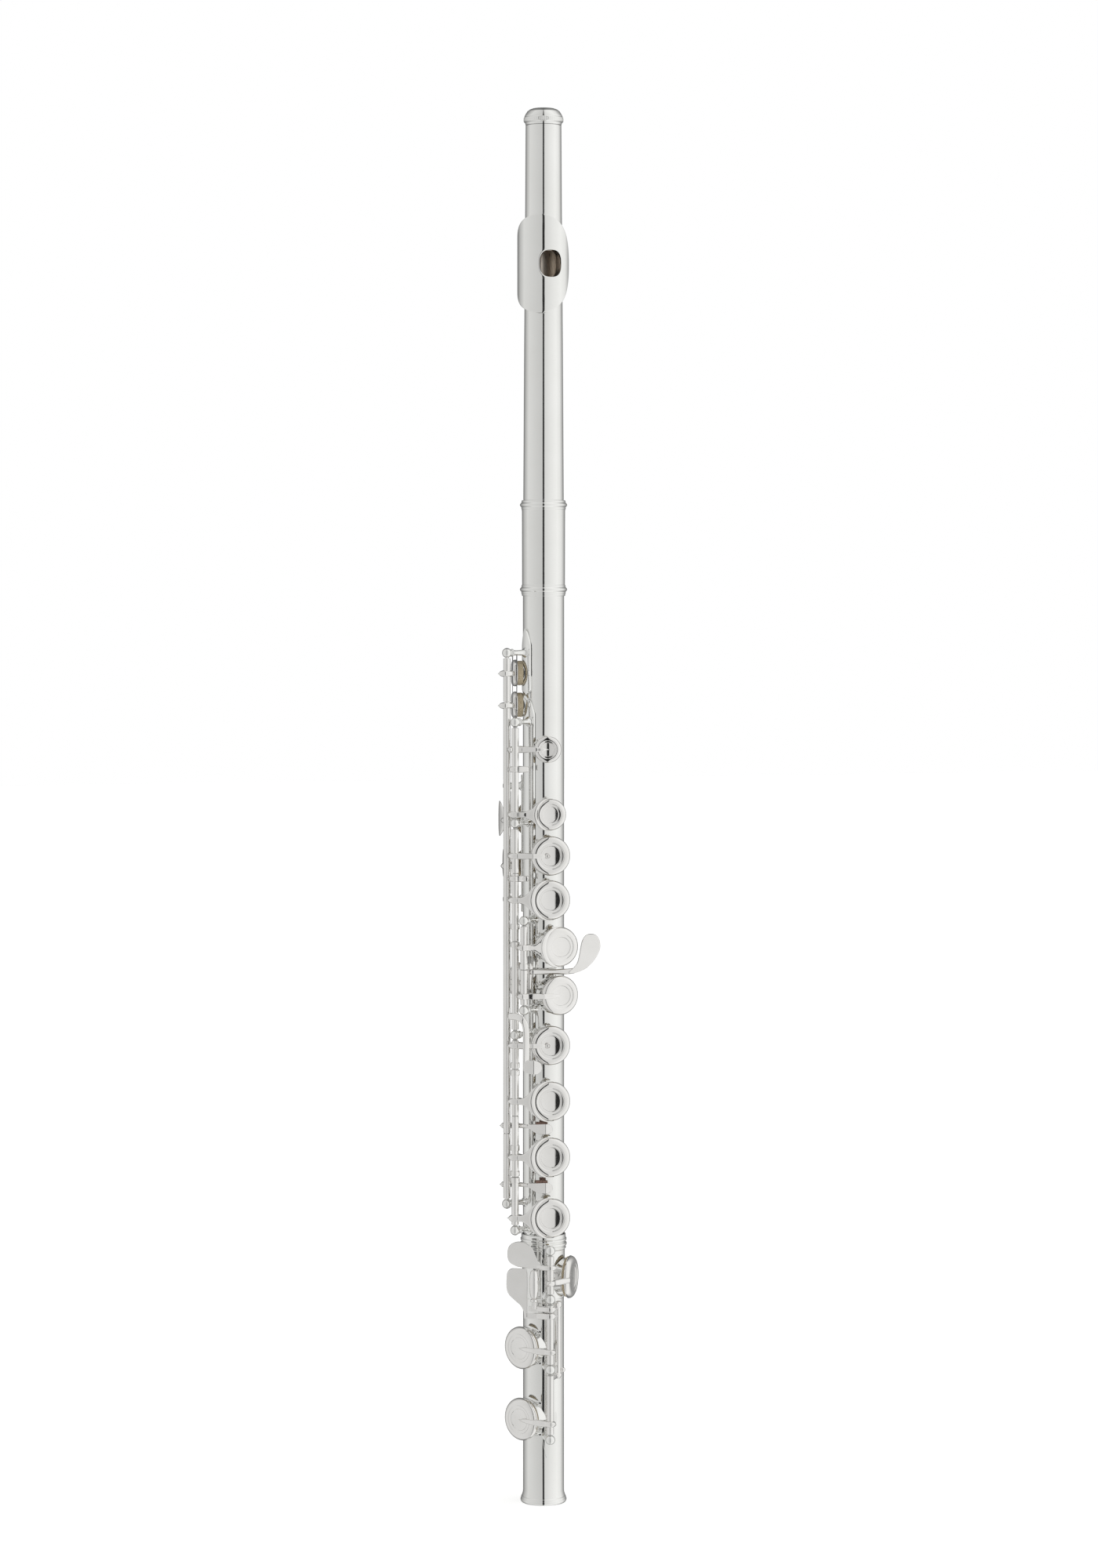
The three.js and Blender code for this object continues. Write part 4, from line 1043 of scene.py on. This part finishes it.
def c_lever():
    """The C lever: the roller's arm and pin, and the bridge that reaches round the C sharp key."""
    roller_x, roller_out, rod_x, rod_out = -4.4, 19.6, 7.7, 11.1
    arm = ribbon([(-1.5, 94.6, 97.3), (-4.4, 94.6, 97.3), (-6.8, 94.7, 97.2)], foot_slope)
    pin = lathe(fillet([(0, 96), (1.0, 96), (1.0, 99.2), (1.75, 99.5), (1.75, 100.6), (1.1, 100.9),
                        (0.8, 101.5),
                        (0.8, 113.8), (0, 113.8)], 0.15, 2), 24)
    bridge = lathe(fillet([(0, 61), (1.1, 61), (1.5, 61.8), (1.5, 95.6), (1.9, 96.2), (1.9, 97.3),
                           (1.4, 98.0),
                           (0, 98.1)], 0.3, 3), 28)
    shells = [foot_root(95.95, 2.7), arm, stand(pin, roller_x, roller_out), stand(bridge, rod_x, rod_out)]
    for z in (62.8, 96.1):
        link = [(3.2, 19.6, z, 2.6, 2.6), (5.2, 16.4, z, 2.6, 2.0), (6.6, 13.4, z, 2.6, 1.8),
                (rod_x, rod_out, z, 2.4, 1.8)]
        shells += [bar(link), ball((rod_x, rod_out, z), 1.95, 0.85)]
    stud = bar([(rod_x, rod_out, 65.1, 1.1, 1.1), (9.9, rod_out, 65.1, 0.9, 0.9)], power=2, ends=(0.1, 0.1))
    return [*shells, stud, ball((10.2, rod_out, 65.1), 1.15)]


def roller():
    low, high = span("roller_c")
    high -= 0.6
    x, y = hinge_of("roller")
    profile = [(1.0, low), (1.5, low), (1.75, low + 0.6), (2.1, low + 2.4), (2.3, low + 4.6),
               (2.3, high - 4.6),
               (2.1, high - 2.4), (1.75, high - 0.6), (1.5, high), (1.0, high), (1.0, low)]
    shell = lathe(fillet(profile, 0.4, 3)[:-1], 40, closed=True)
    piece("roller_barrel", "roller", [stand(shell, x, y)], KEY_SILVER, ["roller_c"])


def clutch(z, screw=True):
    """A short arm on the hinge tube that reaches over to the next key, with its adjusting screw."""
    rows = [(-16.7, 15.3, z, 0.6, 1.2), (-15.8, 15.4, z, 2.4, 3.2), (-14.4, 15.7, z, 3.1, 5.0),
            (-12.4, 15.8, z, 3.2, 5.0), (-10.6, 16.2, z, 3.1, 2.8), (-7.4, 15.6, z, 2.7, 2.0)]
    shells = [bar(rows)]
    if screw:
        head = lathe(fillet([(0, 0), (1.35, 0), (1.35, 1.3), (0, 1.3)], 0.2, 2), 6)
        shells.append(place(head, (-8.4, 16.5, z), (1, 0, 0), (0, 0, 1), (0, 1, 0)))
    return shells


# Raised bands on the hinge tubes, where a clutch or a pin sits.
COLLARS = {
    "a_key": [277.4], "side_lever": [268.9], "g_key": [258.8], "f_sharp_key": [211.3], "f_key": [207.8],
    "e_key": [171.9, 159.7], "d_key": [156.6],
}
# Touches, levers and clutches, drawn in the frame that faces the fingers.
TOUCHES = {
    "thumb_b_key": lambda: thumb_touch(327.5, 8.9, 0),
    "thumb_b_flat_key": lambda: thumb_touch(306, 7, 1.9),
    "trill_d_key": lambda: trill_touch(181),
    "trill_d_sharp_key": lambda: trill_touch(152.9),
    "g_sharp_key": g_sharp_touch,
    "side_lever": side_lever_touch,
    "a_key": lambda: clutch(300.4),
    "c_key": lambda: clutch(352.5, screw=False),
    "foot_d_sharp_key": d_sharp_spatula,
    "foot_c_sharp_key": c_sharp_spatula,
    "foot_c_key": c_lever,
}


def opening(body):
    """How far a key that rests open is turned from shut, in degrees about +z."""
    for name in KEYS[body]:
        if np.linalg.norm(closed_seat(name, body)[0] - Seat(name).face) > 1e-6:
            return -travel(body)
    return 0.0


def keys():
    for body, cups in KEYS.items():
        node = "lever_b_flat" if body == "side_lever" else "key_" + body.removesuffix("_key")
        line = hinge_of(body)
        if body == "trill_d_sharp_key":
            shells = [hinge_tube(line, 384.8, 405.2), hinge_tube(line, 147.4, 178.3),
                      steel_rod(line, 143, 409.6)]
        else:
            gap = 25 if body == "foot_c_key" else 1e9
            shells = [hinge_tube(line, low, high) for low, high in tube_spans(node, body, gap)]
        for name, arm in cups.items():
            shells += cup_and_pad(body, name, arm)
        shells += [hinge_tube(line, z - 1.3, z + 1.3, 2.15, ROD["outer"] - 0.2, 0.3)
                   for z in COLLARS.get(body, ())]
        if body in TOUCHES:
            shells += [at_rest(shell, body) for shell in TOUCHES[body]()]
        piece(f"{node}_work", body, shells, KEY_SILVER, [node])


# ---------------------------------------------------------------- stage, light and camera


def corks():
    """Cork stops glued under the trill touches."""
    for body, z in (("trill_d_key", 182.7), ("trill_d_sharp_key", 154.9)):
        block = bar([(-3.6, 14.2, z, 2.8, 1.1), (1.9, 14.6, z, 2.7, 1.1)], power=6, per=2, ends=(0.05, 0.05))
        piece(f"{body}_stop", body, [touch_place(block)], CORK)


def needles():
    """The needle springs of the trill keys, fixed in their post and laid along the tube."""
    springs = [needle((-14.8, 8, 407), (-14.8, 9.5, 388)), needle((-12.8, 8, 407), (-12.8, 9.5, 364))]
    piece("trill_springs", "body_joint", [touch_place(spring) for spring in springs], NEEDLE)


def floor():
    mesh = bpy.data.meshes.new("floor")
    half = 6.0
    mesh.from_pydata([(-half, -half, 0), (half, -half, 0), (half, half, 0),
                      (-half, half, 0)], [], [(0, 1, 2, 3)])
    made = bpy.data.objects.new("floor", mesh)
    made.location.z = -0.0003
    bpy.context.scene.collection.objects.link(made)
    surface, _, shader = material("floor_white", (0.9, 0.9, 0.9), 0.9)
    shader.inputs["Emission Color"].default_value = (1, 1, 1, 1)
    shader.inputs["Emission Strength"].default_value = 0.55
    mesh.materials.append(surface)
    made.visible_glossy = False


# Brightness of the white tent round the flute, by degrees round the upright from the camera's side.
# The narrow dark step is the slit that the camera looks through.
TENT = [(-180, 0.12), (-150, 0.22), (-125, 0.45), (-95, 0.66), (-65, 0.62), (-5.5, 0.53), (-5, 0.02),
        (5, 0.02),
        (5.5, 0.64), (40, 0.76), (80, 0.85), (110, 0.76), (145, 0.3), (180, 0.12)]
TENT_GAIN = 1.17
TENT_WARMTH = 0.985


def tent():
    """A white light tent with a dark slit in front, as seen in the silver; plain white behind the flute."""
    world = bpy.data.worlds.new("tent")
    bpy.context.scene.world = world
    world.use_nodes = True
    tree = world.node_tree
    nodes, links = tree.nodes, tree.links
    nodes.clear()

    def calculate(operation, *values):
        """A math node; each value is a number or another node's output."""
        node = nodes.new("ShaderNodeMath")
        node.operation = operation
        for socket, value in zip(node.inputs, values):
            if isinstance(value, (int, float)):
                socket.default_value = value
            else:
                links.new(value, socket)
        return node.outputs[0]

    view = nodes.new("ShaderNodeTexCoord")
    parts = nodes.new("ShaderNodeSeparateXYZ")
    links.new(view.outputs["Generated"], parts.inputs["Vector"])
    around = calculate("ARCTAN2", parts.outputs["X"], calculate("MULTIPLY", parts.outputs["Y"], -1))
    turn = calculate("SUBTRACT", around, math.radians(CAMERA["azimuth"]))
    share = nodes.new("ShaderNodeMapRange")
    share.inputs["From Min"].default_value = -math.pi
    share.inputs["From Max"].default_value = math.pi
    links.new(calculate("WRAP", turn, math.pi, -math.pi), share.inputs["Value"])
    stops = [((degrees + 180) / 360, (level, level, level * TENT_WARMTH)) for degrees, level in TENT]
    lit = nodes.new("ShaderNodeBackground")
    lit.inputs["Strength"].default_value = TENT_GAIN
    links.new(ramp(tree, share.outputs["Result"], stops), lit.inputs["Color"])
    plain = nodes.new("ShaderNodeBackground")
    plain.inputs["Color"].default_value = (1, 1, 1, 1)
    path = nodes.new("ShaderNodeLightPath")
    mix = nodes.new("ShaderNodeMixShader")
    out = nodes.new("ShaderNodeOutputWorld")
    links.new(path.outputs["Is Camera Ray"], mix.inputs["Fac"])
    links.new(lit.outputs[0], mix.inputs[1])
    links.new(plain.outputs[0], mix.inputs[2])
    links.new(mix.outputs[0], out.inputs["Surface"])


def camera():
    data = bpy.data.cameras.new("camera")
    data.sensor_fit = "AUTO"
    data.sensor_width = 36
    data.lens = CAMERA["lens"]
    data.shift_x = CAMERA["shift_x"]
    data.shift_y = CAMERA["shift_y"]
    made = bpy.data.objects.new("camera", data)
    a = math.radians(CAMERA["azimuth"])
    distance = CAMERA["distance"] * MM
    made.location = (distance * math.sin(a), -distance * math.cos(a), CAMERA["height"] * MM)
    made.rotation_euler = (math.radians(90), 0, a)
    bpy.context.scene.collection.objects.link(made)
    bpy.context.scene.camera = made


camera()
tent()
floor()
bpy.context.scene.view_settings.view_transform = "Standard"

body_tube()
barrel_tube()
foot_tube()
head_tube()
head_tenon()
lip_plate()
crown()
stopper()
straps()
steels()
keys()
roller()
corks()
needles()
